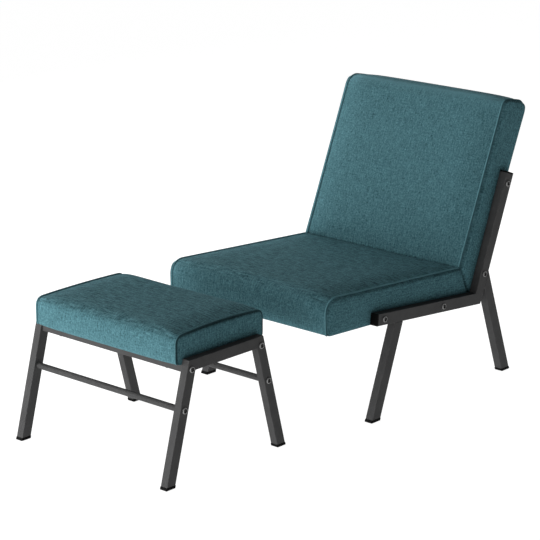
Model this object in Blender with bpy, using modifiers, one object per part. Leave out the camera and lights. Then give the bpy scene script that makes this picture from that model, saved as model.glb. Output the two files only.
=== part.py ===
# Low armless lounge chair with a matching ottoman.
# Welded side frames of rectangular steel tube carry upholstered pads, which are bolted on from outside.
# Metres, +Z up. The chair faces -Y, and left and right are as seen from in front of it (right is +X).
import math

import bmesh
import bpy
import numpy as np
from mathutils import Matrix, Vector
from mathutils.geometry import intersect_line_line

# Rectangular tube of the side frames
CHAIR_TUBE_DEPTH = 0.032
CHAIR_TUBE_WIDTH = 0.024
OTTOMAN_TUBE_DEPTH = 0.029
OTTOMAN_TUBE_WIDTH = 0.022
TUBE_WALL = 0.0015
TUBE_CORNER = 0.002

# Chair side frames
CHAIR_WIDTH = 0.617
CHAIR_FOOT_SPAN = 0.6094
FRONT_LEG_SPLAY = math.radians(19.8)
REAR_LEG_SPLAY = math.radians(19.5)
RAIL_FRONT_HEIGHT = 0.2944
RAIL_SETBACK = 0.0195
RAIL_SLOPE = math.radians(5.1)
RAIL_LENGTH = 0.4258
UPRIGHT_LEAN = math.radians(21.8)
UPRIGHT_LENGTH = 0.3457

# Bolt places along the chair's rails and uprights
RAIL_FRONT_BOLT = 0.030
RAIL_REAR_BOLT = 0.282
UPRIGHT_LOW_BOLT = 0.058
UPRIGHT_TOP_BOLT = 0.0325

# Chair upholstery, measured from the rail's top and front end and from the upright's front and foot
SEAT_OVERHANG = 0.1628
SEAT_FRONT_RAKE = 0.0124
SEAT_FRONT_DROP = 0.0085
SEAT_FRONT_RISE = 0.0553
SEAT_REAR_RISE = 0.0706
SEAT_NOSE_RADIUS = 0.028
BACK_LOW_DEPTH = 0.0605
BACK_FRONT_HEIGHT = 0.532
BACK_FRONT_DEPTH = 0.0504
BACK_REAR_HEIGHT = 0.5505
BACK_REAR_DEPTH = 0.0535
BACK_HEEL_DEPTH = 0.040
BACK_FRONT_RADIUS = 0.014
BACK_REAR_RADIUS = 0.028
UNDER_LIP = 0.0015
SIDE_DRAW = 0.0091
PAD_CROWN = 0.004

# Frames and boards inside the upholstery
COVER_THICKNESS = 0.003
TIMBER_WIDTH = 0.034
TIMBER_HEIGHT = 0.026
SEAT_FRONT_PAD = 0.024
SEAT_REAR_PAD = 0.014
BACK_TOP_PAD = 0.030
BACK_FRAME_FOOT = 0.012
DECK_THICKNESS = 0.005
DUST_COVER = 0.001

# Ottoman
OTTOMAN_WIDTH = 0.5405
OTTOMAN_FOOT_SPAN = 0.4337
OTTOMAN_FRAME_HEIGHT = 0.312
OTTOMAN_GAP = 0.1757
OTTOMAN_SHIFT = -0.0285
CROSSBAR_SIZE = 0.020
CROSSBAR_DROP = 0.0245
CROSSBAR_INSET = 0.0297
STRETCHER_DIAMETER = 0.0165
STRETCHER_HEIGHT = 0.189
BAR_PLUG = 0.010
OTTOMAN_PAD_DEPTH = 0.309
OTTOMAN_PAD_HEIGHT = 0.0725
OTTOMAN_PAD_RADIUS = 0.018
OTTOMAN_ARCH = 0.0045
OTTOMAN_SIDE_DRAW = 0.002
OTTOMAN_BOARD = 0.012
OTTOMAN_RIM = 0.012
BOARD_SCREW_INSET = 0.060

# Welt sewn round each side panel
WELT_WIDTH = 0.005
WELT_PROUD = 0.0015
SEAM_DEPTH = 0.0012
PANEL_RINGS = (0.005, 0.011)
PANEL_TURN = 0.6

# Plastic end caps
CAP_FLANGE = 0.004
CAP_PLUG = 0.016
FOOT_FLANGE = 0.007
FOOT_LIP = 0.0008

# Bolts
SHANK_DIAMETER = 0.006
HEAD_DIAMETER = 0.0155
HEAD_HEIGHT = 0.003
HEAD_CHAMFER = 0.0008
SOCKET_SIZE = 0.006
SOCKET_DEPTH = 0.002
TIMBER_GRIP = 0.018
BAR_BOLT_PROUD = 0.003
BOARD_GRIP = 0.009
SCREW_DIAMETER = 0.005
SCREW_HEAD = 0.010

# Clearance between neighbouring pieces, and mesh fineness
GAP = 0.0003
STOCK_LENGTH = 2.0
CORNER_STEPS = 2
ARC_STEPS = 5
ROUND_SIDES = 14
CROWN_SHARES = (0.0, 0.4, 0.7, 0.9)
CROWN_POWER = 4
MITRE_STEPS = 2
BORDER_STEPS = 3
TOP_STEPS = 4
UNDER_STEPS = 6
FACE_STEPS = 9
ARCH_STEPS = 16
SMOOTH_ANGLE = math.radians(35)
WELD = 0.00001

# Derived places
RAIL_LEAN = math.pi / 2 + RAIL_SLOPE
SIDES = {"left": -1, "right": 1}


def clear_scene():
    for item in list(bpy.data.objects):
        bpy.data.objects.remove(item, do_unlink=True)


def new_collection(name):
    group = bpy.data.collections.new(name)
    bpy.context.scene.collection.children.link(group)
    return group


def new_material(name, colour, roughness, metallic=0.0):
    material = bpy.data.materials.new(name)
    material.use_nodes = True
    shader = material.node_tree.nodes["Principled BSDF"]
    shader.inputs["Base Color"].default_value = (*colour, 1.0)
    shader.inputs["Roughness"].default_value = roughness
    shader.inputs["Metallic"].default_value = metallic
    return material


clear_scene()
PARTS = new_collection("accent_chair_with_ottoman")
CUTTERS = new_collection("cutters")
FRAME_METAL = new_material("charcoal_frame", (0.035, 0.035, 0.037), 0.45, 0.6)
CAP_PLASTIC = new_material("black_plastic", (0.008, 0.008, 0.008), 0.5)
BOLT_STEEL = new_material("bolt_steel", (0.24, 0.24, 0.25), 0.35, 1.0)
TEAL_FABRIC = new_material("teal_fabric", (0.058, 0.149, 0.172), 0.9)
TIMBER = new_material("timber", (0.45, 0.31, 0.18), 0.7)
PLYWOOD = new_material("plywood", (0.52, 0.38, 0.24), 0.7)
LINING = new_material("black_lining", (0.012, 0.012, 0.012), 0.95)


class Run:
    """A straight line in the side view, from a (y, z) point, leaning rearwards from upright."""

    def __init__(self, y, z, lean):
        self.start = Vector((0, y, z))
        self.lean = lean
        self.along = Vector((0, math.sin(lean), math.cos(lean)))
        self.across = Vector((0, math.cos(lean), -math.sin(lean)))

    def at(self, along, across, x=0.0):
        return self.start + self.along * along + self.across * across + Vector((x, 0, 0))

    def place_of(self, point):
        """The along and across of a point in the side view."""
        away = point - self.start
        return away.dot(self.along), away.dot(self.across)


def add_part(name, mesh, material, parent, location=(0, 0, 0), rotation=(0, 0, 0)):
    part = bpy.data.objects.new(name, mesh)
    PARTS.objects.link(part)
    part.parent = parent
    part.location = location
    part.rotation_euler = rotation
    if not mesh.materials:
        mesh.materials.append(material)
    return part


def add_cutter(parent, location, rotation):
    cutter = bpy.context.active_object
    for group in list(cutter.users_collection):
        group.objects.unlink(cutter)
    CUTTERS.objects.link(cutter)
    cutter.parent = parent
    cutter.location = location
    cutter.rotation_euler = rotation
    cutter.display_type = "WIRE"
    cutter.hide_render = True
    return cutter


def round_cutter(radius, length, parent, location, rotation):
    bpy.ops.mesh.primitive_cylinder_add(vertices=ROUND_SIDES, radius=radius, depth=length)
    return add_cutter(parent, location, rotation)


def box_cutter(size, parent, location, rotation):
    bpy.ops.mesh.primitive_cube_add(size=1.0)
    bpy.context.active_object.data.transform(Matrix.Diagonal((*size, 1.0)))
    return add_cutter(parent, location, rotation)


def cut(part, cutter):
    trim = part.modifiers.new("cut " + cutter.name, "BOOLEAN")
    trim.operation = "DIFFERENCE"
    trim.solver = "EXACT"
    trim.object = cutter


def box_mesh(name, size):
    mesh = bpy.data.meshes.new(name)
    shape = bmesh.new()
    bmesh.ops.create_cube(shape, size=1.0, matrix=Matrix.Diagonal((*size, 1.0)))
    shape.to_mesh(mesh)
    shape.free()
    return mesh


def evaluated_mesh(item):
    depsgraph = bpy.context.evaluated_depsgraph_get()
    return bpy.data.meshes.new_from_object(item.evaluated_get(depsgraph))


def outline_mesh(name, loops, thickness):
    """Closed flat outlines, the later ones holes in the first, extruded along Z about the middle."""
    curve = bpy.data.curves.new(name, "CURVE")
    curve.dimensions = "2D"
    curve.fill_mode = "BOTH"
    curve.extrude = thickness / 2
    for loop in loops:
        spline = curve.splines.new("POLY")
        spline.points.add(len(loop) - 1)
        spline.use_cyclic_u = True
        for point, (x, y) in zip(spline.points, loop):
            point.co = (x, y, 0, 1)
    shape = bpy.data.objects.new(name, curve)
    bpy.context.scene.collection.objects.link(shape)
    mesh = evaluated_mesh(shape)
    bpy.data.objects.remove(shape, do_unlink=True)
    solid = bmesh.new()
    solid.from_mesh(mesh)
    bmesh.ops.remove_doubles(solid, verts=solid.verts, dist=WELD)
    bmesh.ops.recalc_face_normals(solid, faces=solid.faces)
    solid.to_mesh(mesh)
    solid.free()
    return mesh


def loft_mesh(name, loops):
    """Equal closed loops joined in turn, with the first and the last filled."""
    count = len(loops[0])
    shape = bmesh.new()
    rings = [[shape.verts.new(point) for point in loop] for loop in loops]
    for lower, upper in zip(rings, rings[1:]):
        for i in range(count):
            j = (i + 1) % count
            shape.faces.new((lower[i], lower[j], upper[j], upper[i]))
    shape.faces.new(rings[0])
    shape.faces.new(rings[-1])
    bmesh.ops.recalc_face_normals(shape, faces=shape.faces)
    mesh = bpy.data.meshes.new(name)
    shape.to_mesh(mesh)
    shape.free()
    return mesh


def rounded_rectangle(width, depth, radius):
    points = []
    for quarter, (sx, sy) in enumerate(((1, 1), (-1, 1), (-1, -1), (1, -1))):
        for step in range(CORNER_STEPS + 1):
            angle = (quarter + step / CORNER_STEPS) * math.pi / 2
            x = sx * (width / 2 - radius) + radius * math.cos(angle)
            y = sy * (depth / 2 - radius) + radius * math.sin(angle)
            points.append((x, y))
    return points


def tube_bore(width, depth, slack=0.0):
    """The outline inside a tube's wall, or that of a plug with some slack in it."""
    inset = TUBE_WALL + slack
    radius = max(TUBE_CORNER - inset, GAP)
    return rounded_rectangle(width - 2 * inset, depth - 2 * inset, radius)


def tube_mesh(name, width, depth, run, across, cuts):
    """Rectangular tube along a run, cut at both ends by planes given as (point, normal out of the tube)."""
    loops = (rounded_rectangle(width, depth, TUBE_CORNER), tube_bore(width, depth))
    mesh = outline_mesh(name, loops, STOCK_LENGTH)
    to_local = (Matrix.Translation(run.at(0, across)) @ Matrix.Rotation(-run.lean, 4, "X")).inverted()
    shape = bmesh.new()
    shape.from_mesh(mesh)
    for point, normal in cuts:
        geometry = shape.verts[:] + shape.edges[:] + shape.faces[:]
        result = bmesh.ops.bisect_plane(
            shape,
            geom=geometry,
            dist=WELD / 10,
            plane_co=to_local @ point,
            plane_no=to_local.to_3x3() @ normal,
            clear_outer=True,
        )
        rim = [item for item in result["geom_cut"] if isinstance(item, bmesh.types.BMEdge)]
        bmesh.ops.bridge_loops(shape, edges=rim)
    bmesh.ops.recalc_face_normals(shape, faces=shape.faces)
    shape.to_mesh(mesh)
    shape.free()
    return mesh


def square_cap_mesh(name, width, depth):
    """End cap of a square-cut tube: flange from z 0 down, plug above it."""
    outer = rounded_rectangle(width, depth, TUBE_CORNER)
    plug = tube_bore(width, depth, GAP)
    levels = ((outer, -CAP_FLANGE), (outer, 0.0), (plug, 0.0), (plug, CAP_PLUG))
    return loft_mesh(name, [[(x, y, z) for x, y in loop] for loop, z in levels])


def foot_cap_mesh(name, width, depth, splay):
    """Foot of a leg that leans rearwards by splay: level sole at z 0, plug up the leaning bore."""
    sole_depth = depth / math.cos(splay) + 2 * FOOT_LIP
    outer = rounded_rectangle(width + 2 * FOOT_LIP, sole_depth, TUBE_CORNER + FOOT_LIP)
    inset = TUBE_WALL + GAP
    plug_depth = (depth - 2 * inset) / math.cos(splay)
    plug = rounded_rectangle(width - 2 * inset, plug_depth, max(TUBE_CORNER - inset, GAP))
    levels = ((outer, 0.0), (outer, FOOT_FLANGE), (plug, FOOT_FLANGE), (plug, FOOT_FLANGE + CAP_PLUG))
    slope = math.tan(splay)
    return loft_mesh(name, [[(x, y + z * slope, z) for x, y in loop] for loop, z in levels])


def bolt_mesh(name, shank, length, head):
    """Socket-head bolt on Z: the head sits above z 0 and the shank runs down from it."""
    profile = (
        (0.0, HEAD_HEIGHT),
        (head / 2 - HEAD_CHAMFER, HEAD_HEIGHT),
        (head / 2, HEAD_HEIGHT - HEAD_CHAMFER),
        (head / 2, 0.0),
        (shank / 2, 0.0),
        (shank / 2, -length),
        (0.0, -length),
    )
    mesh = bpy.data.meshes.new(name + "_profile")
    edges = [(i, i + 1) for i in range(len(profile) - 1)]
    mesh.from_pydata([(x, 0, z) for x, z in profile], edges, [])
    turned = bpy.data.objects.new(name, mesh)
    bpy.context.scene.collection.objects.link(turned)
    screw = turned.modifiers.new("turn", "SCREW")
    screw.steps = ROUND_SIDES
    screw.render_steps = ROUND_SIDES
    screw.use_merge_vertices = True
    screw.merge_threshold = WELD
    socket_radius = min(SOCKET_SIZE, head / 2) / 2
    bpy.ops.mesh.primitive_cylinder_add(vertices=6, radius=socket_radius, depth=2 * SOCKET_DEPTH)
    socket = add_cutter(None, (0, 0, HEAD_HEIGHT), (0, 0, 0))
    cut(turned, socket)
    bolt = evaluated_mesh(turned)
    bolt.name = name
    bpy.data.objects.remove(turned, do_unlink=True)
    bpy.data.objects.remove(socket, do_unlink=True)
    bolt.materials.clear()
    return bolt


def rounded_profile(corners):
    """Side outline of a pad from corners (along, across, radius, steps on the next edge, is it sewn).

    Returns the points, how far each is drawn in, whether it is sewn and how much its panel swells (0 to 1).
    """
    places = [Vector(corner[:2]) for corner in corners]
    count = len(corners)
    arcs = []
    for i, (_, _, radius, _, _) in enumerate(corners):
        back = (places[i - 1] - places[i]).normalized()
        ahead = (places[(i + 1) % count] - places[i]).normalized()
        if radius == 0:
            arcs.append([places[i]])
            continue
        half = back.angle(ahead) / 2
        centre = places[i] + (back + ahead).normalized() * radius / math.sin(half)
        first = (places[i] + back * radius / math.tan(half) - centre).normalized()
        last = (places[i] + ahead * radius / math.tan(half) - centre).normalized()
        spread = [first.slerp(last, k / ARC_STEPS) for k in range(ARC_STEPS + 1)]
        arcs.append([centre + direction * radius for direction in spread])
    points, drawn, sewn, swell = [], [], [], []
    for i, (_, _, _, steps, is_sewn) in enumerate(corners):
        was_sewn = corners[i - 1][4]
        will_be_sewn = corners[(i + 1) % count][4]
        for point in arcs[i]:
            points.append(point)
            drawn.append(max(was_sewn, is_sewn))
            sewn.append(was_sewn * is_sewn)
            swell.append(0.0)
        start = arcs[i][-1]
        end = arcs[(i + 1) % count][0]
        for k in range(1, steps):
            share = k / steps
            points.append(start.lerp(end, share))
            drawn.append(is_sewn or max(was_sewn * (1 - 2 * share), will_be_sewn * (2 * share - 1), 0))
            sewn.append(is_sewn)
            swell.append(is_sewn * math.sin(math.pi * share) ** 0.5)
    return np.array(points), np.array(drawn, float), np.array(sewn, float), np.array(swell)


def outward_normals(points):
    """Mitred outward normals of a closed outline."""
    ahead = np.roll(points, -1, axis=0) - points
    ahead /= np.linalg.norm(ahead, axis=1, keepdims=True)
    normal = np.column_stack((ahead[:, 1], -ahead[:, 0]))
    area = np.sum(points[:, 0] * np.roll(points[:, 1], -1) - points[:, 1] * np.roll(points[:, 0], -1))
    normal *= np.sign(area)
    pair = normal + np.roll(normal, 1, axis=0)
    return 2 * pair / np.sum(pair * pair, axis=1, keepdims=True)


def pad_loops(corners, flush, draw, crown):
    """Loops across a pad: crowned middle, welt with a seam on either side, then the swelling side panel.

    flush is the half width where a side panel lies against the frame, draw how far its seams are drawn in.
    """
    points, drawn, sewn, swell = rounded_profile(corners)
    normals = outward_normals(points)
    seam = flush - draw * drawn
    inner = seam - WELT_WIDTH
    rows = []
    for share in CROWN_SHARES:
        rows.append((inner * share, crown * swell * (1 - share ** CROWN_POWER)))
    rows.append((inner, -SEAM_DEPTH * sewn))
    rows.append((inner + WELT_WIDTH / 2, WELT_PROUD * sewn))
    rows.append((seam, -SEAM_DEPTH * sewn))
    rows.append((seam + PANEL_TURN * draw * drawn, -PANEL_RINGS[0] + 0 * sewn))
    rows.append((flush + 0 * sewn, -PANEL_RINGS[1] + 0 * sewn))
    half = [np.column_stack((x, points + normals * offset[:, None])) for x, offset in rows]
    mirrored = [loop * (-1, 1, 1) for loop in reversed(half[1:])]
    return mirrored + half


def loops_on_run(loops, run):
    """Loops given as (x, along, across) of a run, as points in space."""
    return [[run.at(along, across, x) for x, along, across in loop] for loop in loops]


# Chair side frame in the side view
FRONT_FOOT = -CHAIR_FOOT_SPAN / 2
REAR_FOOT = CHAIR_FOOT_SPAN / 2
RAIL = Run(FRONT_FOOT + RAIL_SETBACK, RAIL_FRONT_HEIGHT, RAIL_LEAN)
INNER_CORNER = RAIL.at(RAIL_LENGTH, 0)
UPRIGHT = Run(INNER_CORNER.y, INNER_CORNER.z, UPRIGHT_LEAN)
FRONT_LEG = Run(FRONT_FOOT, 0, FRONT_LEG_SPLAY)
REAR_LEG = Run(REAR_FOOT, 0, -REAR_LEG_SPLAY)
CHAIR_HALF = CHAIR_TUBE_DEPTH / 2
CHAIR_STOCK = (CHAIR_TUBE_WIDTH, CHAIR_TUBE_DEPTH)
CHAIR_INNER = CHAIR_WIDTH / 2 - CHAIR_TUBE_WIDTH
CHAIR_TUBE_X = CHAIR_WIDTH / 2 - CHAIR_TUBE_WIDTH / 2
CHAIR_FLUSH = CHAIR_INNER - GAP
TIMBER_OUTER = CHAIR_FLUSH - COVER_THICKNESS - GAP
RAIL_BOLTS = (RAIL_FRONT_BOLT, RAIL_REAR_BOLT)
UPRIGHT_BOLTS = (UPRIGHT_LOW_BOLT, UPRIGHT_LENGTH - UPRIGHT_TOP_BOLT)

# The pads meet in a plane from the frame's inner corner to the crease, where the seat's top meets the back
NOSE_ALONG = -SEAT_OVERHANG - SEAT_FRONT_RAKE
SEAT_TOP = (RAIL.at(NOSE_ALONG, -SEAT_FRONT_RISE), RAIL.at(RAIL_LENGTH, -SEAT_REAR_RISE))
BACK_FACE = (UPRIGHT.at(0, -BACK_LOW_DEPTH), UPRIGHT.at(BACK_FRONT_HEIGHT, -BACK_FRONT_DEPTH))
CREASE = intersect_line_line(*SEAT_TOP, *BACK_FACE)[0]
SEAT_CREASE = RAIL.place_of(CREASE)
BACK_CREASE = UPRIGHT.place_of(CREASE)
PAD_UNDER = CHAIR_TUBE_DEPTH + UNDER_LIP
SEAT_HEEL = RAIL_LENGTH + PAD_UNDER * (SEAT_CREASE[0] - RAIL_LENGTH) / SEAT_CREASE[1]
BACK_HEEL = BACK_HEEL_DEPTH * BACK_CREASE[0] / BACK_CREASE[1]

# Outlines of the chair's pads, the seat's on the rail's run and the back's on the upright's
SEAT_CORNERS = (
    (-SEAT_OVERHANG, CHAIR_TUBE_DEPTH + SEAT_FRONT_DROP, 0, BORDER_STEPS, 1),
    (NOSE_ALONG, -SEAT_FRONT_RISE, SEAT_NOSE_RADIUS, FACE_STEPS, 1),
    (SEAT_CREASE[0] - GAP, SEAT_CREASE[1], 0, MITRE_STEPS, 0),
    (SEAT_HEEL - GAP, PAD_UNDER, 0, UNDER_STEPS, 0),
    (0, PAD_UNDER, 0, BORDER_STEPS, 0),
)
BACK_CORNERS = (
    (BACK_HEEL + GAP, BACK_HEEL_DEPTH, 0, MITRE_STEPS, 0),
    (BACK_CREASE[0] + GAP, BACK_CREASE[1], 0, FACE_STEPS, 1),
    (BACK_FRONT_HEIGHT, -BACK_FRONT_DEPTH, BACK_FRONT_RADIUS, TOP_STEPS, 1),
    (BACK_REAR_HEIGHT, BACK_REAR_DEPTH, BACK_REAR_RADIUS, FACE_STEPS, 1),
)
SEAT_LOOPS = loops_on_run(pad_loops(SEAT_CORNERS, CHAIR_FLUSH, SIDE_DRAW, PAD_CROWN), RAIL)
BACK_LOOPS = loops_on_run(pad_loops(BACK_CORNERS, CHAIR_FLUSH, SIDE_DRAW, PAD_CROWN), UPRIGHT)

# Ottoman side frame in the side view, about the middle of its feet
OTTOMAN_FOOT = OTTOMAN_FOOT_SPAN / 2
OTTOMAN_STOCK = (OTTOMAN_TUBE_WIDTH, OTTOMAN_TUBE_DEPTH)
OTTOMAN_TUBE_X = OTTOMAN_WIDTH / 2 - OTTOMAN_TUBE_WIDTH / 2
OTTOMAN_INNER = OTTOMAN_WIDTH / 2 - OTTOMAN_TUBE_WIDTH
OTTOMAN_HALF = OTTOMAN_TUBE_DEPTH / 2
PAD_HALF = OTTOMAN_PAD_DEPTH / 2
CROSSBAR_HEIGHT = OTTOMAN_FRAME_HEIGHT - CROSSBAR_DROP

# The legs splay so that their middles meet the crossbars, which lie a set way inside the pad's edges
LEG_SPREAD = OTTOMAN_FOOT - PAD_HALF + CROSSBAR_INSET
LEG_REACH = math.hypot(LEG_SPREAD, CROSSBAR_HEIGHT)
OTTOMAN_SPLAY = math.acos(OTTOMAN_HALF / LEG_REACH) - math.atan2(CROSSBAR_HEIGHT, LEG_SPREAD)
LEVEL_DEPTH = OTTOMAN_TUBE_DEPTH / math.cos(OTTOMAN_SPLAY)


def ottoman_leg_middle(height):
    """Distance from the ottoman's middle to the middle of a leg at a height."""
    return OTTOMAN_FOOT - height * math.tan(OTTOMAN_SPLAY) - LEVEL_DEPTH / 2


# Ottoman pad: it lies on the crossbars, and its top is an arch between the front and rear seams
OTTOMAN_PAD_BASE = CROSSBAR_HEIGHT + CROSSBAR_SIZE / 2 + GAP
OTTOMAN_PAD_RUN = Run(0, OTTOMAN_PAD_BASE, 0)
OTTOMAN_CORNERS = (
    (0, PAD_HALF, 0, UNDER_STEPS, 0),
    (0, -PAD_HALF, 0, BORDER_STEPS, 1),
    (OTTOMAN_PAD_HEIGHT, -PAD_HALF, OTTOMAN_PAD_RADIUS, ARCH_STEPS, 1),
    (OTTOMAN_PAD_HEIGHT, PAD_HALF, OTTOMAN_PAD_RADIUS, BORDER_STEPS, 1),
)


def arched(loops):
    """Loops raised along their top by a parabola from the front seam to the rear one."""
    raised = []
    for loop in loops:
        share = np.clip(loop[:, 1] / OTTOMAN_PAD_HEIGHT, 0, 1)
        rise = OTTOMAN_ARCH * np.clip(1 - (loop[:, 2] / PAD_HALF) ** 2, 0, 1) * share
        raised.append(loop + np.column_stack((0 * rise, rise, 0 * rise)))
    return raised


OTTOMAN_FLUSH = OTTOMAN_INNER - GAP
OTTOMAN_PAD = arched(pad_loops(OTTOMAN_CORNERS, OTTOMAN_FLUSH, OTTOMAN_SIDE_DRAW, PAD_CROWN))
OTTOMAN_LOOPS = loops_on_run(OTTOMAN_PAD, OTTOMAN_PAD_RUN)

# The set stands with the middle of its box on the origin, the ottoman ahead of the seat
SEAT_FRONT = min(point.y for loop in SEAT_LOOPS for point in loop)
BACK_REAR = max(point.y for loop in BACK_LOOPS for point in loop)
OTTOMAN_MIDDLE = SEAT_FRONT - OTTOMAN_GAP - PAD_HALF
SET_MIDDLE = (OTTOMAN_MIDDLE - OTTOMAN_FOOT - FOOT_LIP + BACK_REAR) / 2


def add_empty(name, location):
    empty = bpy.data.objects.new(name, None)
    PARTS.objects.link(empty)
    empty.location = location
    return empty


CHAIR = add_empty("chair", (0, -SET_MIDDLE, 0))
OTTOMAN = add_empty("ottoman", (OTTOMAN_SHIFT, OTTOMAN_MIDDLE - SET_MIDDLE, 0))


def outward(sign):
    """Turns local Z to face outwards on a side."""
    return (0, sign * math.pi / 2, 0)


def add_side_bolt(name, mesh, sign, outer, place, length, parent):
    """A bolt driven in from outside, and the cutter of its hole in what it goes through."""
    add_part(name, mesh, BOLT_STEEL, parent, (sign * (outer + GAP), place.y, place.z), outward(sign))
    inside = outer - length - GAP
    middle = (inside + outer + GAP) / 2
    radius = SHANK_DIAMETER / 2 + GAP
    centre = (sign * middle, place.y, place.z)
    return round_cutter(radius, outer + GAP - inside, parent, centre, outward(sign))


def build_chair_frame():
    """The two side frames with their caps. Returns the bolt hole cutters of the seat and of the back."""
    heel_normal = (UPRIGHT.along + RAIL.along).normalized()
    rail_end = (INNER_CORNER - heel_normal * GAP / 2, heel_normal)
    upright_end = (INNER_CORNER + heel_normal * GAP / 2, -heel_normal)
    sole = (Vector((0, 0, FOOT_FLANGE + GAP)), Vector((0, 0, -1)))
    under_rail = (RAIL.at(0, CHAIR_TUBE_DEPTH + GAP), -RAIL.across)
    behind_upright = (UPRIGHT.at(0, CHAIR_TUBE_DEPTH + GAP), -UPRIGHT.across)
    rail_front = (RAIL.at(CAP_FLANGE + GAP, 0), -RAIL.along)
    upright_top = (UPRIGHT.at(UPRIGHT_LENGTH - CAP_FLANGE - GAP, 0), UPRIGHT.along)
    tubes = {
        "seat_rail": (RAIL, CHAIR_HALF, (rail_front, rail_end)),
        "back_upright": (UPRIGHT, CHAIR_HALF, (upright_end, upright_top)),
        "front_leg": (FRONT_LEG, CHAIR_HALF, (sole, under_rail)),
        "rear_leg": (REAR_LEG, -CHAIR_HALF, (sole, behind_upright)),
    }
    meshes = {name: tube_mesh(name, *CHAIR_STOCK, *tube) for name, tube in tubes.items()}
    end_cap = square_cap_mesh("tube_end_cap", *CHAIR_STOCK)
    front_foot = foot_cap_mesh("front_foot", *CHAIR_STOCK, FRONT_LEG_SPLAY)
    rear_foot = foot_cap_mesh("rear_foot", *CHAIR_STOCK, -REAR_LEG_SPLAY)
    bolt_length = CHAIR_TUBE_WIDTH + GAP + COVER_THICKNESS + TIMBER_GRIP
    bolt = bolt_mesh("frame_bolt", SHANK_DIAMETER, bolt_length, HEAD_DIAMETER)
    seat_holes = []
    back_holes = []
    for side, sign in SIDES.items():
        x = sign * CHAIR_TUBE_X
        made = {}
        for name, (run, across, _) in tubes.items():
            place = run.at(0, across, x)
            turn = (-run.lean, 0, 0)
            made[name] = add_part(f"{name}_{side}", meshes[name], FRAME_METAL, CHAIR, place, turn)
        front = RAIL.at(CAP_FLANGE, CHAIR_HALF, x)
        add_part(f"rail_front_cap_{side}", end_cap, CAP_PLASTIC, CHAIR, front, (-RAIL_LEAN, 0, 0))
        top = UPRIGHT.at(UPRIGHT_LENGTH - CAP_FLANGE, CHAIR_HALF, x)
        add_part(f"upright_top_cap_{side}", end_cap, CAP_PLASTIC, CHAIR, top, (math.pi - UPRIGHT_LEAN, 0, 0))
        front_sole = (x, FRONT_FOOT + CHAIR_HALF / math.cos(FRONT_LEG_SPLAY), 0)
        add_part(f"front_foot_cap_{side}", front_foot, CAP_PLASTIC, CHAIR, front_sole)
        rear_sole = (x, REAR_FOOT - CHAIR_HALF / math.cos(REAR_LEG_SPLAY), 0)
        add_part(f"rear_foot_cap_{side}", rear_foot, CAP_PLASTIC, CHAIR, rear_sole)
        for end, along in zip(("front", "rear"), RAIL_BOLTS):
            name = f"seat_bolt_{end}_{side}"
            place = RAIL.at(along, CHAIR_HALF)
            hole = add_side_bolt(name, bolt, sign, CHAIR_WIDTH / 2, place, bolt_length, CHAIR)
            cut(made["seat_rail"], hole)
            seat_holes.append(hole)
        for end, along in zip(("low", "top"), UPRIGHT_BOLTS):
            name = f"back_bolt_{end}_{side}"
            place = UPRIGHT.at(along, CHAIR_HALF)
            hole = add_side_bolt(name, bolt, sign, CHAIR_WIDTH / 2, place, bolt_length, CHAIR)
            cut(made["back_upright"], hole)
            back_holes.append(hole)
    return seat_holes, back_holes


def timber_ring_mesh(name, length):
    """Glued timber frame lying in X and Y, with its length along Y."""
    outer = ((-1, -1), (1, -1), (1, 1), (-1, 1))
    loops = []
    for inset in (0, TIMBER_WIDTH):
        half_width = TIMBER_OUTER - inset
        half_length = length / 2 - inset
        loops.append([(x * half_width, y * half_length) for x, y in outer])
    return outline_mesh(name, loops, TIMBER_HEIGHT)


def build_seat(holes):
    """Seat pad over a timber frame and deck, with a dust cover under it, all square to the rails."""
    turn = (math.pi / 2 - RAIL_LEAN, 0, 0)
    front = -SEAT_OVERHANG + SEAT_FRONT_PAD
    rear = RAIL_LENGTH - SEAT_REAR_PAD
    length = rear - front
    middle = (front + rear) / 2
    frame_level = CHAIR_HALF
    deck_level = frame_level - TIMBER_HEIGHT / 2 - GAP - DECK_THICKNESS / 2
    cover_level = frame_level + TIMBER_HEIGHT / 2 + GAP + DUST_COVER / 2
    frame = add_part("seat_frame", timber_ring_mesh("seat_frame", length), TIMBER, CHAIR,
                     RAIL.at(middle, frame_level), turn)
    deck = box_mesh("seat_deck", (2 * TIMBER_OUTER, length, DECK_THICKNESS))
    add_part("seat_deck", deck, PLYWOOD, CHAIR, RAIL.at(middle, deck_level), turn)
    cover = box_mesh("seat_dust_cover", (2 * TIMBER_OUTER, length, DUST_COVER))
    add_part("seat_dust_cover", cover, LINING, CHAIR, RAIL.at(middle, cover_level), turn)
    pad = add_part("seat_cushion", loft_mesh("seat_cushion", SEAT_LOOPS), TEAL_FABRIC, CHAIR)
    ceiling = deck_level - DECK_THICKNESS / 2 - GAP
    floor = CHAIR_TUBE_DEPTH + SEAT_FRONT_DROP + SEAT_OVERHANG
    size = (2 * (TIMBER_OUTER + GAP), length + 2 * GAP, floor - ceiling)
    for hole in holes:
        cut(pad, hole)
        cut(frame, hole)
    cut(pad, box_cutter(size, CHAIR, RAIL.at(middle, (floor + ceiling) / 2), turn))


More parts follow.
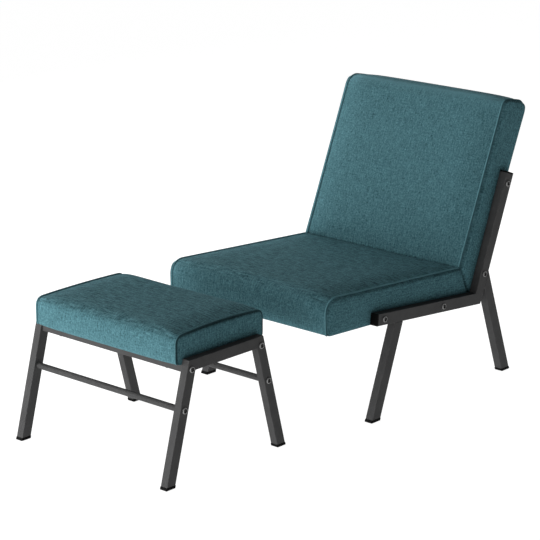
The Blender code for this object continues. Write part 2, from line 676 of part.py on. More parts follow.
def build_back(holes):
    """Back pad drawn like a sleeve over its timber frame, open where it meets the seat."""
    turn = (math.pi / 2 - UPRIGHT_LEAN, 0, 0)
    top = BACK_FRONT_HEIGHT - BACK_TOP_PAD
    length = top - BACK_FRAME_FOOT
    middle = (top + BACK_FRAME_FOOT) / 2
    frame = add_part("back_frame", timber_ring_mesh("back_frame", length), TIMBER, CHAIR,
                     UPRIGHT.at(middle, CHAIR_HALF), turn)
    pad = add_part("back_cushion", loft_mesh("back_cushion", BACK_LOOPS), TEAL_FABRIC, CHAIR)
    foot = BACK_HEEL - BACK_TOP_PAD
    size = (2 * (TIMBER_OUTER + GAP), top + GAP - foot, TIMBER_HEIGHT + 2 * GAP)
    for hole in holes:
        cut(pad, hole)
        cut(frame, hole)
    cut(pad, box_cutter(size, CHAIR, UPRIGHT.at((top + GAP + foot) / 2, CHAIR_HALF), turn))


def build_ottoman_frame():
    """Side frames of a rail mitred between two splayed legs, tied by two crossbars and two stretchers."""
    sole = (Vector((0, 0, FOOT_FLANGE + GAP)), Vector((0, 0, -1)))
    top_y = OTTOMAN_FOOT - OTTOMAN_FRAME_HEIGHT * math.tan(OTTOMAN_SPLAY)
    front_leg = Run(-OTTOMAN_FOOT, 0, OTTOMAN_SPLAY)
    rear_leg = Run(OTTOMAN_FOOT, 0, -OTTOMAN_SPLAY)
    rail = Run(-top_y, OTTOMAN_FRAME_HEIGHT, math.pi / 2)
    front_normal = (rail.along + front_leg.along).normalized()
    rear_normal = (rear_leg.along - rail.along).normalized()
    front_corner = Vector((0, -top_y, OTTOMAN_FRAME_HEIGHT))
    rear_corner = Vector((0, top_y, OTTOMAN_FRAME_HEIGHT))
    rail_cuts = (
        (front_corner + front_normal * GAP / 2, -front_normal),
        (rear_corner + rear_normal * GAP / 2, -rear_normal),
    )
    tubes = {
        "front_leg": (front_leg, OTTOMAN_HALF, (sole, (front_corner - front_normal * GAP / 2, front_normal))),
        "rear_leg": (rear_leg, -OTTOMAN_HALF, (sole, (rear_corner - rear_normal * GAP / 2, rear_normal))),
        "top_rail": (rail, OTTOMAN_HALF, rail_cuts),
    }
    meshes = {name: tube_mesh("ottoman_" + name, *OTTOMAN_STOCK, *tube) for name, tube in tubes.items()}
    feet = {"front": foot_cap_mesh("ottoman_front_foot", *OTTOMAN_STOCK, OTTOMAN_SPLAY)}
    feet["rear"] = foot_cap_mesh("ottoman_rear_foot", *OTTOMAN_STOCK, -OTTOMAN_SPLAY)
    legs = {}
    for side, sign in SIDES.items():
        x = sign * OTTOMAN_TUBE_X
        for name, (run, across, _) in tubes.items():
            tube = add_part(f"ottoman_{name}_{side}", meshes[name], FRAME_METAL, OTTOMAN,
                            run.at(0, across, x), (-run.lean, 0, 0))
            legs[name, side] = tube
        for end, direction in (("front", -1), ("rear", 1)):
            place = (x, direction * (OTTOMAN_FOOT - LEVEL_DEPTH / 2), 0)
            add_part(f"ottoman_{end}_foot_cap_{side}", feet[end], CAP_PLASTIC, OTTOMAN, place)
    return legs


def build_ottoman_bars(legs):
    """Crossbars under the pad and round stretchers below them, bolted into threaded plugs in their ends."""
    length = 2 * (OTTOMAN_INNER - GAP)
    bore = length - 2 * BAR_PLUG
    square = box_mesh("crossbar", (length, CROSSBAR_SIZE, CROSSBAR_SIZE))
    bolt_length = OTTOMAN_TUBE_WIDTH + GAP + BAR_PLUG + BAR_BOLT_PROUD
    bolt = bolt_mesh("bar_bolt", SHANK_DIAMETER, bolt_length, HEAD_DIAMETER)
    screw_length = CROSSBAR_SIZE + 2 * GAP + DUST_COVER + GAP + BOARD_GRIP
    screw = bolt_mesh("board_screw", SCREW_DIAMETER, screw_length, SCREW_HEAD)
    board_holes = []
    along_x = (0, math.pi / 2, 0)
    for end, direction in (("front", -1), ("rear", 1)):
        bar_y = direction * ottoman_leg_middle(CROSSBAR_HEIGHT)
        stretcher_y = direction * ottoman_leg_middle(STRETCHER_HEIGHT)
        bar_place = (0, bar_y, CROSSBAR_HEIGHT)
        crossbar = add_part(f"ottoman_crossbar_{end}", square, FRAME_METAL, OTTOMAN, bar_place)
        inside = CROSSBAR_SIZE - 2 * TUBE_WALL
        cut(crossbar, box_cutter((bore, inside, inside), OTTOMAN, crossbar.location, (0, 0, 0)))
        bpy.ops.mesh.primitive_cylinder_add(vertices=ROUND_SIDES, radius=STRETCHER_DIAMETER / 2, depth=length)
        turned = bpy.context.active_object
        stretcher = add_part(f"ottoman_stretcher_{end}", turned.data, FRAME_METAL, OTTOMAN,
                             (0, stretcher_y, STRETCHER_HEIGHT), along_x)
        bpy.data.objects.remove(turned, do_unlink=True)
        radius = STRETCHER_DIAMETER / 2 - TUBE_WALL
        cut(stretcher, round_cutter(radius, bore, OTTOMAN, stretcher.location, along_x))
        for side, sign in SIDES.items():
            leg = legs[f"{end}_leg", side]
            for kind, bar in (("crossbar", crossbar), ("stretcher", stretcher)):
                name = f"ottoman_{kind}_bolt_{end}_{side}"
                hole = add_side_bolt(name, bolt, sign, OTTOMAN_WIDTH / 2, bar.location, bolt_length, OTTOMAN)
                cut(leg, hole)
                cut(bar, hole)
            x = sign * (OTTOMAN_INNER - BOARD_SCREW_INSET)
            low = CROSSBAR_HEIGHT - CROSSBAR_SIZE / 2
            add_part(f"ottoman_board_screw_{end}_{side}", screw, BOLT_STEEL, OTTOMAN,
                     (x, bar_y, low - GAP), (math.pi, 0, 0))
            middle = (x, bar_y, low - GAP + screw_length / 2)
            hole = round_cutter(SCREW_DIAMETER / 2 + GAP, screw_length + 2 * GAP, OTTOMAN, middle, (0, 0, 0))
            cut(crossbar, hole)
            board_holes.append(hole)
    return board_holes


def build_ottoman_pad(holes):
    """Ottoman pad on its board, with a dust cover between the board and the crossbars."""
    size_x = 2 * (OTTOMAN_FLUSH - COVER_THICKNESS - GAP)
    size_y = OTTOMAN_PAD_DEPTH - 2 * (OTTOMAN_RIM + GAP)
    cover_level = OTTOMAN_PAD_BASE + DUST_COVER / 2
    board_level = OTTOMAN_PAD_BASE + DUST_COVER + GAP + OTTOMAN_BOARD / 2
    cover = add_part("ottoman_dust_cover", box_mesh("ottoman_dust_cover", (size_x, size_y, DUST_COVER)),
                     LINING, OTTOMAN, (0, 0, cover_level))
    board = add_part("ottoman_board", box_mesh("ottoman_board", (size_x, size_y, OTTOMAN_BOARD)),
                     PLYWOOD, OTTOMAN, (0, 0, board_level))
    pad = add_part("ottoman_cushion", loft_mesh("ottoman_cushion", OTTOMAN_LOOPS), TEAL_FABRIC, OTTOMAN)
    ceiling = board_level + OTTOMAN_BOARD / 2 + GAP
    floor = OTTOMAN_PAD_BASE - OTTOMAN_BOARD
    recess = (size_x + 2 * GAP, size_y + 2 * GAP, ceiling - floor)
    cut(pad, box_cutter(recess, OTTOMAN, (0, 0, (ceiling + floor) / 2), (0, 0, 0)))
    for hole in holes:
        cut(cover, hole)
        cut(board, hole)


def shade_smooth():
    for part in PARTS.objects:
        if part.type == "MESH":
            part.data.shade_smooth()
            part.data.set_sharp_from_angle(angle=SMOOTH_ANGLE)


seat_bolt_holes, back_bolt_holes = build_chair_frame()
build_seat(seat_bolt_holes)
build_back(back_bolt_holes)
ottoman_legs = build_ottoman_frame()
ottoman_board_holes = build_ottoman_bars(ottoman_legs)
build_ottoman_pad(ottoman_board_holes)
shade_smooth()
bpy.context.view_layer.update()
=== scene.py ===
# Low lounge chair with an ottoman: surfaces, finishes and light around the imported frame.
# Metres, +Z up. The chair faces -Y, and left and right are as seen from in front of it.
import math

import bmesh
import bpy
import numpy as np
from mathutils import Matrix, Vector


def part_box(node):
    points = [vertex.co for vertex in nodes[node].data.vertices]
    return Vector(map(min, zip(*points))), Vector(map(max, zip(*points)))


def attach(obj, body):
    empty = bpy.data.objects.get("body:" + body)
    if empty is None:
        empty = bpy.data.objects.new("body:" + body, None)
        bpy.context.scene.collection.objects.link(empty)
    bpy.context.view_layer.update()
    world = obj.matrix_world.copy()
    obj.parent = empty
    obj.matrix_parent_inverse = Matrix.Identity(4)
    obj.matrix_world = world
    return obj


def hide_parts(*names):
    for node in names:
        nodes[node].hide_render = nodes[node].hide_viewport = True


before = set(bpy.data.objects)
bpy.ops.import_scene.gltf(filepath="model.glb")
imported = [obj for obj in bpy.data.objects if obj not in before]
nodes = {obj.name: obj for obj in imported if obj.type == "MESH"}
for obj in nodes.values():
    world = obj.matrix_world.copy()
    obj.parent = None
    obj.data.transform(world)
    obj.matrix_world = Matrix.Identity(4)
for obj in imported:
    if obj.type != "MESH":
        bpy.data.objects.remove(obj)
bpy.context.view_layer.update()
print("frame loaded,", len(nodes), "nodes")

sides = {"left": -1, "right": 1}
ends = ("front", "rear")


def camel(node):
    # front_foot_cap_left becomes frontFootCapLeft
    first, *others = node.split("_")
    return first + "".join(word.capitalize() for word in others)


# Mesh helpers

def gridQuads(index):
    # quads of a grid of vertex numbers, row by row
    a, b = index[:-1, :-1], index[:-1, 1:]
    c, d = index[1:, 1:], index[1:, :-1]
    return np.stack((a, b, c, d), axis=-1).reshape(-1, 4)


def wrapped(index):
    # the same grid with its first column repeated at the end
    return np.concatenate((index, index[:, :1]), axis=1)


def faceOutwards(mesh):
    shape = bmesh.new()
    shape.from_mesh(mesh)
    bmesh.ops.recalc_face_normals(shape, faces=shape.faces)
    shape.to_mesh(mesh)
    shape.free()
    mesh.shade_smooth()


def loftPiece(name, rings, finish, body, smoothAngle):
    # closed rings (station, point round the ring, xyz) joined in turn, both ends filled
    count, around = rings.shape[:2]
    index = np.arange(count * around).reshape(count, around)
    faces = gridQuads(wrapped(index)).tolist()
    faces += [index[0, ::-1].tolist(), index[-1].tolist()]
    mesh = bpy.data.meshes.new(name)
    mesh.from_pydata(rings.reshape(-1, 3).tolist(), [], faces)
    faceOutwards(mesh)
    mesh.set_sharp_from_angle(angle=math.radians(smoothAngle))
    mesh.materials.append(finish)
    piece = bpy.data.objects.new(name, mesh)
    bpy.context.scene.collection.objects.link(piece)
    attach(piece, body)
    return piece


def setAttribute(mesh, label, values):
    layer = mesh.attributes.new(label, "FLOAT", "POINT")
    layer.data.foreach_set("value", values.astype(np.float32))


def subdivided(piece, label):
    smooth = piece.modifiers.new(label, "SUBSURF")
    smooth.levels = 1
    smooth.render_levels = 1


def smoothStep(value):
    t = np.clip(value, 0.0, 1.0)
    return t * t * (3.0 - 2.0 * t)


def walkedAlong(path):
    # distance along a row of points, 0 at its start
    return np.concatenate(([0.0], np.cumsum(np.linalg.norm(np.diff(path, axis=0), axis=1))))


def unit(vector):
    return vector / np.linalg.norm(vector)


# Straight runs in the side view (y, z), leaning rearwards from upright

def sideRun(y, z, leanDegrees):
    lean = math.radians(leanDegrees)
    along = np.array((math.sin(lean), math.cos(lean)))
    across = np.array((math.cos(lean), -math.sin(lean)))
    return {"start": np.array((y, z)), "along": along, "across": across}


def onRun(run, along, across):
    # start + along * unit vector of the run + across * unit vector square to it
    return run["start"] + np.multiply.outer(along, run["along"]) + np.multiply.outer(across, run["across"])


# Finishes: shader maths as plain expressions on sockets

class Shade:
    def __init__(self, tree, socket=None):
        self.tree = tree
        self.socket = socket

    def node(self, kind, settings=None, inputs=None, output=0):
        made = self.tree.nodes.new(kind)
        for key, value in (settings or {}).items():
            setattr(made, key, value)
        for key, value in (inputs or {}).items():
            self.feed(made.inputs[key], value)
        return Shade(self.tree, made.outputs[output])

    def feed(self, target, value):
        if isinstance(value, Shade):
            self.tree.links.new(value.socket, target)
        else:
            target.default_value = value

    def maths(self, operation, *values):
        return self.node("ShaderNodeMath", {"operation": operation}, dict(enumerate(values)))

    def __add__(self, other):
        return self.maths("ADD", self, other)

    __radd__ = __add__

    def __sub__(self, other):
        return self.maths("SUBTRACT", self, other)

    def __rsub__(self, other):
        return self.maths("SUBTRACT", other, self)

    def __mul__(self, other):
        return self.maths("MULTIPLY", self, other)

    __rmul__ = __mul__

    def __pow__(self, other):
        return self.maths("POWER", self, other)

    def clamped(self):
        return self.node("ShaderNodeClamp", {}, {"Value": self})

    def contrasted(self, gain):
        # stretched about the middle of 0 to 1
        return ((self - 0.5) * gain + 0.5).clamped()

    def grain(self, sizes, detail, roughness):
        # noise of about 0 to 1 on a coordinate, with a cell size for each axis or one for all three
        scale = tuple(1.0 / np.broadcast_to(sizes, 3))
        place = self.node("ShaderNodeVectorMath", {"operation": "MULTIPLY"}, {0: self, 1: scale})
        inputs = {"Vector": place, "Scale": 1.0, "Detail": detail, "Roughness": roughness}
        return self.node("ShaderNodeTexNoise", {}, inputs)

    def wave(self, axis, pitch):
        # sine along one axis of a coordinate, one full turn per pitch
        at = self.node("ShaderNodeSeparateXYZ", {}, {0: self}, axis)
        return self.maths("SINE", at * (2.0 * math.pi / pitch))

    def painted(self, label):
        # a value that the mesh carries under this name
        return self.node("ShaderNodeAttribute", {"attribute_name": label}, {}, "Fac")

    def objectPlace(self):
        return self.node("ShaderNodeTexCoord", {}, {}, "Object")

    def bumped(self, bump):
        # this height as a bent normal, by the bump's strength and its depth in metres
        return self.node("ShaderNodeBump", {}, {"Strength": bump[0], "Distance": bump[1], "Height": self})

    def blend(self, first, second):
        # this value as the share of the second colour in the first
        return self.node("ShaderNodeMix", {"data_type": "RGBA"}, {0: self, 6: first, 7: second}, 2)


def varied(look, colour, roughness, relief):
    return {"Base Color": colour, "Roughness": roughness, "Normal": relief.bumped(look["bump"])}


def makeFinish(name, look, paint, *details):
    # the constants come from the look's gloss, what varies over the surface comes from the paint function
    finish = bpy.data.materials.new(name)
    finish.use_nodes = True
    shader = finish.node_tree.nodes["Principled BSDF"]
    shade = Shade(finish.node_tree)
    for key, value in {**look["gloss"], **paint(shade, look, *details)}.items():
        shade.feed(shader.inputs[key], value)
    return finish


def grey(level, cool=1.0):
    return (level, level, level * cool, 1.0)


fabric = {
    "deep": (0.0150, 0.0500, 0.0600, 1.0), "pale": (0.1120, 0.2560, 0.2940, 1.0),
    # colour of the painted shade in the seam grooves
    "seamShadeColour": (0.0030, 0.0090, 0.0110, 1.0),
    "gloss": {"Sheen Weight": 0.04, "Sheen Roughness": 0.5, "Sheen Tint": (0.45, 0.85, 0.92, 1.0),
              "Specular IOR Level": 0.03},
    "threadPitch": 0.0016, "gapPower": 3.0, "gapShade": 0.45,
    # noises: size across the cloth, size along it, detail, roughness
    "slub": (0.0042, 0.030, 3.0, 0.6), "fleck": (0.0032, 0.0062, 2.0, 0.7), "cloud": (0.12, 0.12, 2.0, 0.5),
    "streak": (0.034, 0.0056, 2.0, 0.6), "cockle": (0.008, 0.011, 2.0, 0.6),
    "slubShares": (0.24, 0.12), "fleckShares": (0.34, 0.27), "cloudShare": 0.03, "streakShare": 0.38,
    # the cord and rim shares are painted highlight
    "contrast": 4.1, "cordHighlight": 0.90, "rimHighlightShare": 0.85, "rough": 0.80, "fleckRough": 0.16,
    "threadRelief": 0.6, "fleckRelief": 0.5, "slubRelief": 0.5, "cockleRelief": 1.3, "bump": (0.7, 0.0006),
}


def weavePaint(shade, look):
    # heathered plain weave: yarns over and under in turn, uneven yarn colour, slubs and flecks both ways,
    # streaks where it is sat on, painted highlight near corners, by the seams and on the cords, painted seam
    # shade
    cloth = shade.node("ShaderNodeUVMap", {"uv_map": "weave"})

    def yarnNoise(key, turned=False):
        wide, tall, detail, roughness = look[key]
        return cloth.grain((tall, wide, 1.0) if turned else (wide, tall, 1.0), detail, roughness)

    warp, weft = [cloth.wave(axis, 2.0 * look["threadPitch"]) for axis in "XY"]
    over = shade.maths("GREATER_THAN", warp * weft, 0.0)
    height = over * shade.maths("ABSOLUTE", warp) + (1.0 - over) * shade.maths("ABSOLUTE", weft)
    slubWarp, slubWeft = yarnNoise("slub"), yarnNoise("slub", True)
    fleckWarp, fleckWeft = yarnNoise("fleck"), yarnNoise("fleck", True)
    slubs = look["slubShares"][0] * slubWarp + look["slubShares"][1] * slubWeft
    flecks = look["fleckShares"][0] * fleckWarp + look["fleckShares"][1] * fleckWeft
    streaks = shade.painted("sat") * (yarnNoise("streak") - 0.5) * look["streakShare"]
    heather = slubs + flecks + look["cloudShare"] * yarnNoise("cloud") + streaks
    yarn = heather.contrasted(look["contrast"]).blend(look["deep"], look["pale"])
    between = (1.0 - height) ** look["gapPower"] * look["gapShade"]
    # painted highlight: paler on the cords and near corners and seams, where light catches the rounded edges
    paler = shade.painted("cord") * look["cordHighlight"] + shade.painted("taut") * look["rimHighlightShare"]
    woven = paler.blend(between.blend(yarn, look["deep"]), look["pale"])
    relief = height * look["threadRelief"] + fleckWarp * look["fleckRelief"]
    relief = relief + slubWarp * look["slubRelief"] + yarnNoise("cockle") * look["cockleRelief"]
    # painted shade: darker in the seam grooves and on the cords' shaded side
    colour = shade.painted("paintedSeamShade").blend(woven, look["seamShadeColour"])
    return varied(look, colour, look["rough"] + look["fleckRough"] * fleckWarp, relief)


powderCoat = {
    "dark": grey(0.040, 1.01), "light": grey(0.062, 1.01), "worn": grey(0.100, 1.0),
    "gloss": {"Specular IOR Level": 0.10}, "peelSize": 0.0011, "mottleSize": 0.05, "mottleContrast": 1.6,
    "scuffSize": (0.012, 0.030, 0.030), "scuffFrom": 0.42, "scuffContrast": 4.0, "scuffShare": 0.55,
    "rough": 0.50, "bump": (0.18, 0.0002),
}


def coatPaint(shade, look):
    # satin charcoal powder coat: fine orange peel, slight mottling, edges rubbed lighter
    place = shade.objectPlace()
    peel = place.grain(look["peelSize"], 2.0, 0.5)
    mottle = place.grain(look["mottleSize"], 4.0, 0.6)
    scuff = place.grain(look["scuffSize"], 5.0, 0.7)
    base = mottle.contrasted(look["mottleContrast"]).blend(look["dark"], look["light"])
    bare = ((scuff - look["scuffFrom"]) * look["scuffContrast"]).clamped()
    rubbed = (shade.painted("edge") * bare * look["scuffShare"]).clamped()
    roughness = look["rough"] + 0.14 * mottle + 0.06 * peel - 0.10 * rubbed
    return varied(look, rubbed.blend(base, look["worn"]), roughness, peel)


capPlastic = {"dark": grey(0.0010), "rubbed": grey(0.0040), "gloss": {"Specular IOR Level": 0.05},
              "grainSize": 0.0009, "rubSize": 0.010, "rough": 0.48, "bump": (0.25, 0.0002)}


def plasticPaint(shade, look):
    # moulded black plastic: spark-eroded grain and faint rubbing
    place = shade.objectPlace()
    grain = place.grain(look["grainSize"], 2.0, 0.6)
    colour = place.grain(look["rubSize"], 4.0, 0.6).blend(look["dark"], look["rubbed"])
    return varied(look, colour, look["rough"] + 0.2 * grain, grain)


plating = {"dark": grey(0.22), "light": grey(0.36), "socket": grey(0.03),
           "gloss": {"Metallic": 0.4, "Specular IOR Level": 0.3},
           "turnedSize": (0.0030, 0.0005, 0.0005), "filmSize": 0.006, "rough": 0.40, "bump": (0.2, 0.0001)}


def platedPaint(shade, look):
    # zinc-plated steel: fine turning marks, darker film in patches, shade in the socket
    place = shade.objectPlace()
    turned = place.grain(look["turnedSize"], 3.0, 0.6)
    film = place.grain(look["filmSize"], 3.0, 0.6).blend(look["dark"], look["light"])
    colour = shade.painted("socket").blend(film, look["socket"])
    return varied(look, colour, look["rough"] + 0.20 * turned, turned)


wood = {"gloss": {"Specular IOR Level": 0.3}, "swaySize": (0.20, 0.05, 0.05), "grainLength": 0.40,
        "poreSize": (0.010, 0.0008, 0.0008), "contrast": 2.4, "rough": 0.62, "bump": (0.3, 0.0003)}


def woodPaint(shade, look, pale, dark, grainWidth):
    # sawn wood: long wavy grain with pores, running across the pad
    place = shade.objectPlace()
    sway = place.grain(look["swaySize"], 3.0, 0.5)
    lines = place.grain((look["grainLength"], grainWidth, grainWidth), 5.0, 0.65)
    pores = place.grain(look["poreSize"], 2.0, 0.5)
    tone = (0.6 * lines + 0.4 * sway + 0.25 * (pores - 0.5)).clamped().contrasted(look["contrast"])
    return varied(look, tone.blend(dark, pale), look["rough"] + 0.2 * pores, lines + pores * 0.5)


lining = {"dark": grey(0.006), "light": grey(0.028), "gloss": {"Specular IOR Level": 0.2},
          "fibreSize": (0.0012, 0.0030, 0.0030), "dotPitch": 0.0030, "rough": 0.82, "bump": (0.4, 0.0003)}


def liningPaint(shade, look):
    # black non-woven dust cover: matted fibres and a grid of embossed dots
    place = shade.objectPlace()
    fibre = place.grain(look["fibreSize"], 4.0, 0.7)
    dots = (place.wave("X", look["dotPitch"]) * place.wave("Y", look["dotPitch"])).clamped()
    colour = (fibre * 0.8 + dots * 0.2).blend(look["dark"], look["light"])
    return varied(look, colour, look["rough"] + 0.15 * fibre, fibre - dots * 0.6)


pine = ((0.52, 0.36, 0.20, 1.0), (0.30, 0.17, 0.08, 1.0), 0.006)
veneer = ((0.56, 0.42, 0.27, 1.0), (0.38, 0.25, 0.14, 1.0), 0.012)
tealWeave = makeFinish("tealWeave", fabric, weavePaint)
charcoalCoat = makeFinish("charcoalPowderCoat", powderCoat, coatPaint)
blackPlastic = makeFinish("blackMouldedPlastic", capPlastic, plasticPaint)
platedSteel = makeFinish("platedBolt", plating, platedPaint)
timber = makeFinish("sawnPine", wood, woodPaint, *pine)
plywood = makeFinish("plywoodFace", wood, woodPaint, *veneer)
blackLining = makeFinish("blackLining", lining, liningPaint)
print("finishes made")

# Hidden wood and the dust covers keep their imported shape
keptNodes = {
    "seat_frame": timber, "back_frame": timber, "seat_deck": plywood, "ottoman_board": plywood,
    "seat_dust_cover": blackLining, "ottoman_dust_cover": blackLining,
}
for name, finish in keptNodes.items():
    nodes[name].data.materials.clear()
    nodes[name].data.materials.append(finish)


# Side frames of rectangular tube

tubeStock = {"corner": 0.0013, "cornerSteps": 5, "hold": 0.0004, "smoothAngle": 24.0,
             "weldRound": 0.0007, "weldSteps": 2, "weldAngle": 28}


def tubeProfile(width, depth):
    # rounded rectangle (width, across) with a holding point on each flat beside every corner arc;
    # the third column is 1 on the arcs and 0 on the flats
    radius = tubeStock["corner"]
    turns = np.linspace(0.0, math.pi / 2, tubeStock["cornerSteps"] + 1)
    arc = np.column_stack((np.cos(turns), np.sin(turns))) * radius
    first = (radius, -tubeStock["hold"])
    last = (-tubeStock["hold"], radius)
    quarter = np.vstack((first, arc, last))
    onArc = np.concatenate(([0.0], np.ones(len(arc)), [0.0]))
    spin = np.array(((0.0, 1.0), (-1.0, 0.0)))
    middles = np.array(((1, 1), (-1, 1), (-1, -1), (1, -1))) * (width / 2 - radius, depth / 2 - radius)
    loop = np.vstack([quarter @ np.linalg.matrix_power(spin, k) + middles[k] for k in range(4)])
    return np.column_stack((loop, np.tile(onArc, 4)))


def cutStation(run, offset, point, normal):
    # where a line beside a run meets a plane: its place there, and the across vector sheared into the plane
    start = run["start"] + offset * run["across"]
    reach = np.dot(point - start, normal) / np.dot(run["along"], normal)
    sheared = run["across"] - run["along"] * np.dot(run["across"], normal) / np.dot(run["along"], normal)
    return start + reach * run["along"], sheared


def tubePiece(name, stations, size, x, body, replaced):
    # the profile carried along the side view: place + across * sheared vector + width along X
    profile = tubeProfile(*size)
    places, sheared = map(np.array, zip(*stations))
    flat = places[:, None, :] + profile[None, :, 1, None] * sheared[:, None, :]
    width = np.broadcast_to(x + profile[None, :, 0, None], flat.shape[:2] + (1,))
    rings = np.concatenate((width, flat), axis=2)
    piece = loftPiece(name, rings, charcoalCoat, body, tubeStock["smoothAngle"])
    setAttribute(piece.data, "edge", np.tile(profile[:, 2], len(stations)))
    bevel = piece.modifiers.new("dressedWelds", "BEVEL")
    bevel.width = tubeStock["weldRound"]
    bevel.segments = tubeStock["weldSteps"]
    bevel.limit_method = "ANGLE"
    bevel.angle_limit = math.radians(tubeStock["weldAngle"])
    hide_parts(*replaced)


chairFrame = {
    "tube": (0.024, 0.032), "width": 0.617, "footSpan": 0.6094, "frontSplay": 19.8, "rearSplay": 19.5,
    "railHeight": 0.2944, "railSetback": 0.0195, "railSlope": 5.1, "railLength": 0.4258,
    "uprightLean": 21.8, "uprightLength": 0.3457, "capFlange": 0.004, "footFlange": 0.007, "gap": 0.0003,
}
frontCap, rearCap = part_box("front_foot_cap_left"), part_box("rear_foot_cap_left")
chairMiddle = (frontCap[0].y + rearCap[1].y) / 2
frontFoot = chairMiddle - chairFrame["footSpan"] / 2
rearFoot = chairMiddle + chairFrame["footSpan"] / 2
railStart = frontFoot + chairFrame["railSetback"]
rail = sideRun(railStart, chairFrame["railHeight"], 90.0 + chairFrame["railSlope"])
innerCorner = onRun(rail, chairFrame["railLength"], 0.0)
upright = sideRun(*innerCorner, chairFrame["uprightLean"])
frontLeg = sideRun(frontFoot, 0.0, chairFrame["frontSplay"])
rearLeg = sideRun(rearFoot, 0.0, -chairFrame["rearSplay"])
floorUp = np.array((0.0, 1.0))


def buildChairTubes():
    tube, gap = chairFrame["tube"], chairFrame["gap"]
    half = tube[1] / 2
    sole = np.array((0.0, chairFrame["footFlange"] + gap))
    heelNormal = unit(rail["along"] + upright["along"])
    capBack = chairFrame["capFlange"] + gap
    railEnd = onRun(upright, chairFrame["uprightLength"] - capBack, 0.0)
    railPath = [
        cutStation(rail, half, onRun(rail, capBack, 0.0), rail["along"]),
        cutStation(rail, half, innerCorner, heelNormal),
        cutStation(upright, half, railEnd, upright["along"]),
    ]
    underRail = onRun(rail, 0.0, tube[1] + gap)
    behindUpright = onRun(upright, 0.0, tube[1] + gap)
    frontTop = cutStation(frontLeg, half, underRail, rail["across"])
    frontPath = [cutStation(frontLeg, half, sole, floorUp), frontTop]
    rearTop = cutStation(rearLeg, -half, behindUpright, upright["across"])
    rearPath = [cutStation(rearLeg, -half, sole, floorUp), rearTop]
    for side, sign in sides.items():
        x = sign * (chairFrame["width"] - tube[0]) / 2
        bent = (f"seat_rail_{side}", f"back_upright_{side}")
        tubePiece(camel(f"seatRailAndUpright_{side}"), railPath, tube, x, "chair", bent)
        tubePiece(camel(f"frontLegTube_{side}"), frontPath, tube, x, "chair", (f"front_leg_{side}",))
        tubePiece(camel(f"rearLegTube_{side}"), rearPath, tube, x, "chair", (f"rear_leg_{side}",))


ottomanFrame = {
    "tube": (0.022, 0.029), "width": 0.5405, "footSpan": 0.4337, "height": 0.312, "footFlange": 0.007,
    "gap": 0.0003, "crossbarSize": 0.020, "crossbarCorner": 0.002, "stretcherRadius": 0.00825,
    "barEnd": 0.001, "barSteps": 48,
}
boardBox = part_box("ottoman_board")
ottomanX = (boardBox[0].x + boardBox[1].x) / 2
ottomanY = (boardBox[0].y + boardBox[1].y) / 2


def middleOf(node):
    low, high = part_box(node)
    return np.array((low + high) / 2)


legRise = middleOf("ottoman_crossbar_front") - middleOf("ottoman_stretcher_front")
legLean = math.degrees(math.atan2(legRise[1], legRise[2]))


def buildOttomanTubes():
    tube, gap = ottomanFrame["tube"], ottomanFrame["gap"]
    half = tube[1] / 2
    foot = ottomanFrame["footSpan"] / 2
    front = sideRun(ottomanY - foot, 0.0, legLean)
    rear = sideRun(ottomanY + foot, 0.0, -legLean)
    reach = foot - ottomanFrame["height"] * math.tan(math.radians(legLean))
    top = sideRun(ottomanY - reach, ottomanFrame["height"], 90.0)
    sole = np.array((0.0, ottomanFrame["footFlange"] + gap))
    path = [
        cutStation(front, half, sole, floorUp),
        cutStation(top, half, top["start"], unit(top["along"] + front["along"])),
        cutStation(top, half, top["start"] + (2 * reach, 0.0), unit(top["along"] - rear["along"])),
    ]
    down = cutStation(rear, -half, sole, floorUp)
    path.append((down[0], -down[1]))
    for side, sign in sides.items():
        x = ottomanX + sign * (ottomanFrame["width"] - tube[0]) / 2
        replaced = [f"ottoman_{kind}_{side}" for kind in ("front_leg", "top_rail", "rear_leg")]
        tubePiece(camel(f"ottomanSideFrame_{side}"), path, tube, x, "ottoman", replaced)


def buildOttomanBars():
    # square crossbars with softened corners and round stretchers, each a profile carried along X
    quarter = ottomanFrame["barSteps"] // 4
    turns = np.linspace(0.0, 2 * math.pi, ottomanFrame["barSteps"], endpoint=False)
    corner = ottomanFrame["crossbarCorner"]
    sweep = turns[::quarter, None] + np.linspace(0.0, math.pi / 2, quarter)
    arcs = corner * np.stack((np.cos(sweep), np.sin(sweep)), -1)
    middles = np.array(((1, 1), (-1, 1), (-1, -1), (1, -1))) * (ottomanFrame["crossbarSize"] / 2 - corner)
    profiles = {
        "crossbar": (middles[:, None] + arcs).reshape(-1, 2),
        "stretcher": np.column_stack((np.cos(turns), np.sin(turns))) * ottomanFrame["stretcherRadius"],
    }
    inset, angle = ottomanFrame["barEnd"], tubeStock["smoothAngle"]
    for end in ends:
        for kind, profile in profiles.items():
            node = f"ottoman_{kind}_{end}"
            low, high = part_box(node)
            stops = np.array((low.x, low.x + inset, high.x - inset, high.x))
            rings = np.empty((len(stops), len(profile), 3))
            rings[:, :, 0] = stops[:, None]
            rings[:, :, 1:] = profile + middleOf(node)[1:]
            bar = loftPiece(camel(node), rings, charcoalCoat, "ottoman", angle)
            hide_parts(node)


buildChairTubes()
buildOttomanTubes()
buildOttomanBars()
print("tubes made")


# Plastic caps on the open tube ends

capShape = {"wall": 0.0015, "round": 0.0010, "plug": 0.016, "lip": 0.0008, "soleRound": 0.0012,
            "slack": 0.0003, "topRound": 0.0006, "smoothAngle": 30.0}
quarterTurn = np.linspace(0.0, math.pi / 2, 6)


def insetProfile(size, inset, extra=0.0):
    # the tube's outline scaled so that its flats move inwards by the inset less the extra
    profile = tubeProfile(*size)[:, :2]
    halfSize = np.array(size) / 2
    return profile * (halfSize - inset + extra) / halfSize


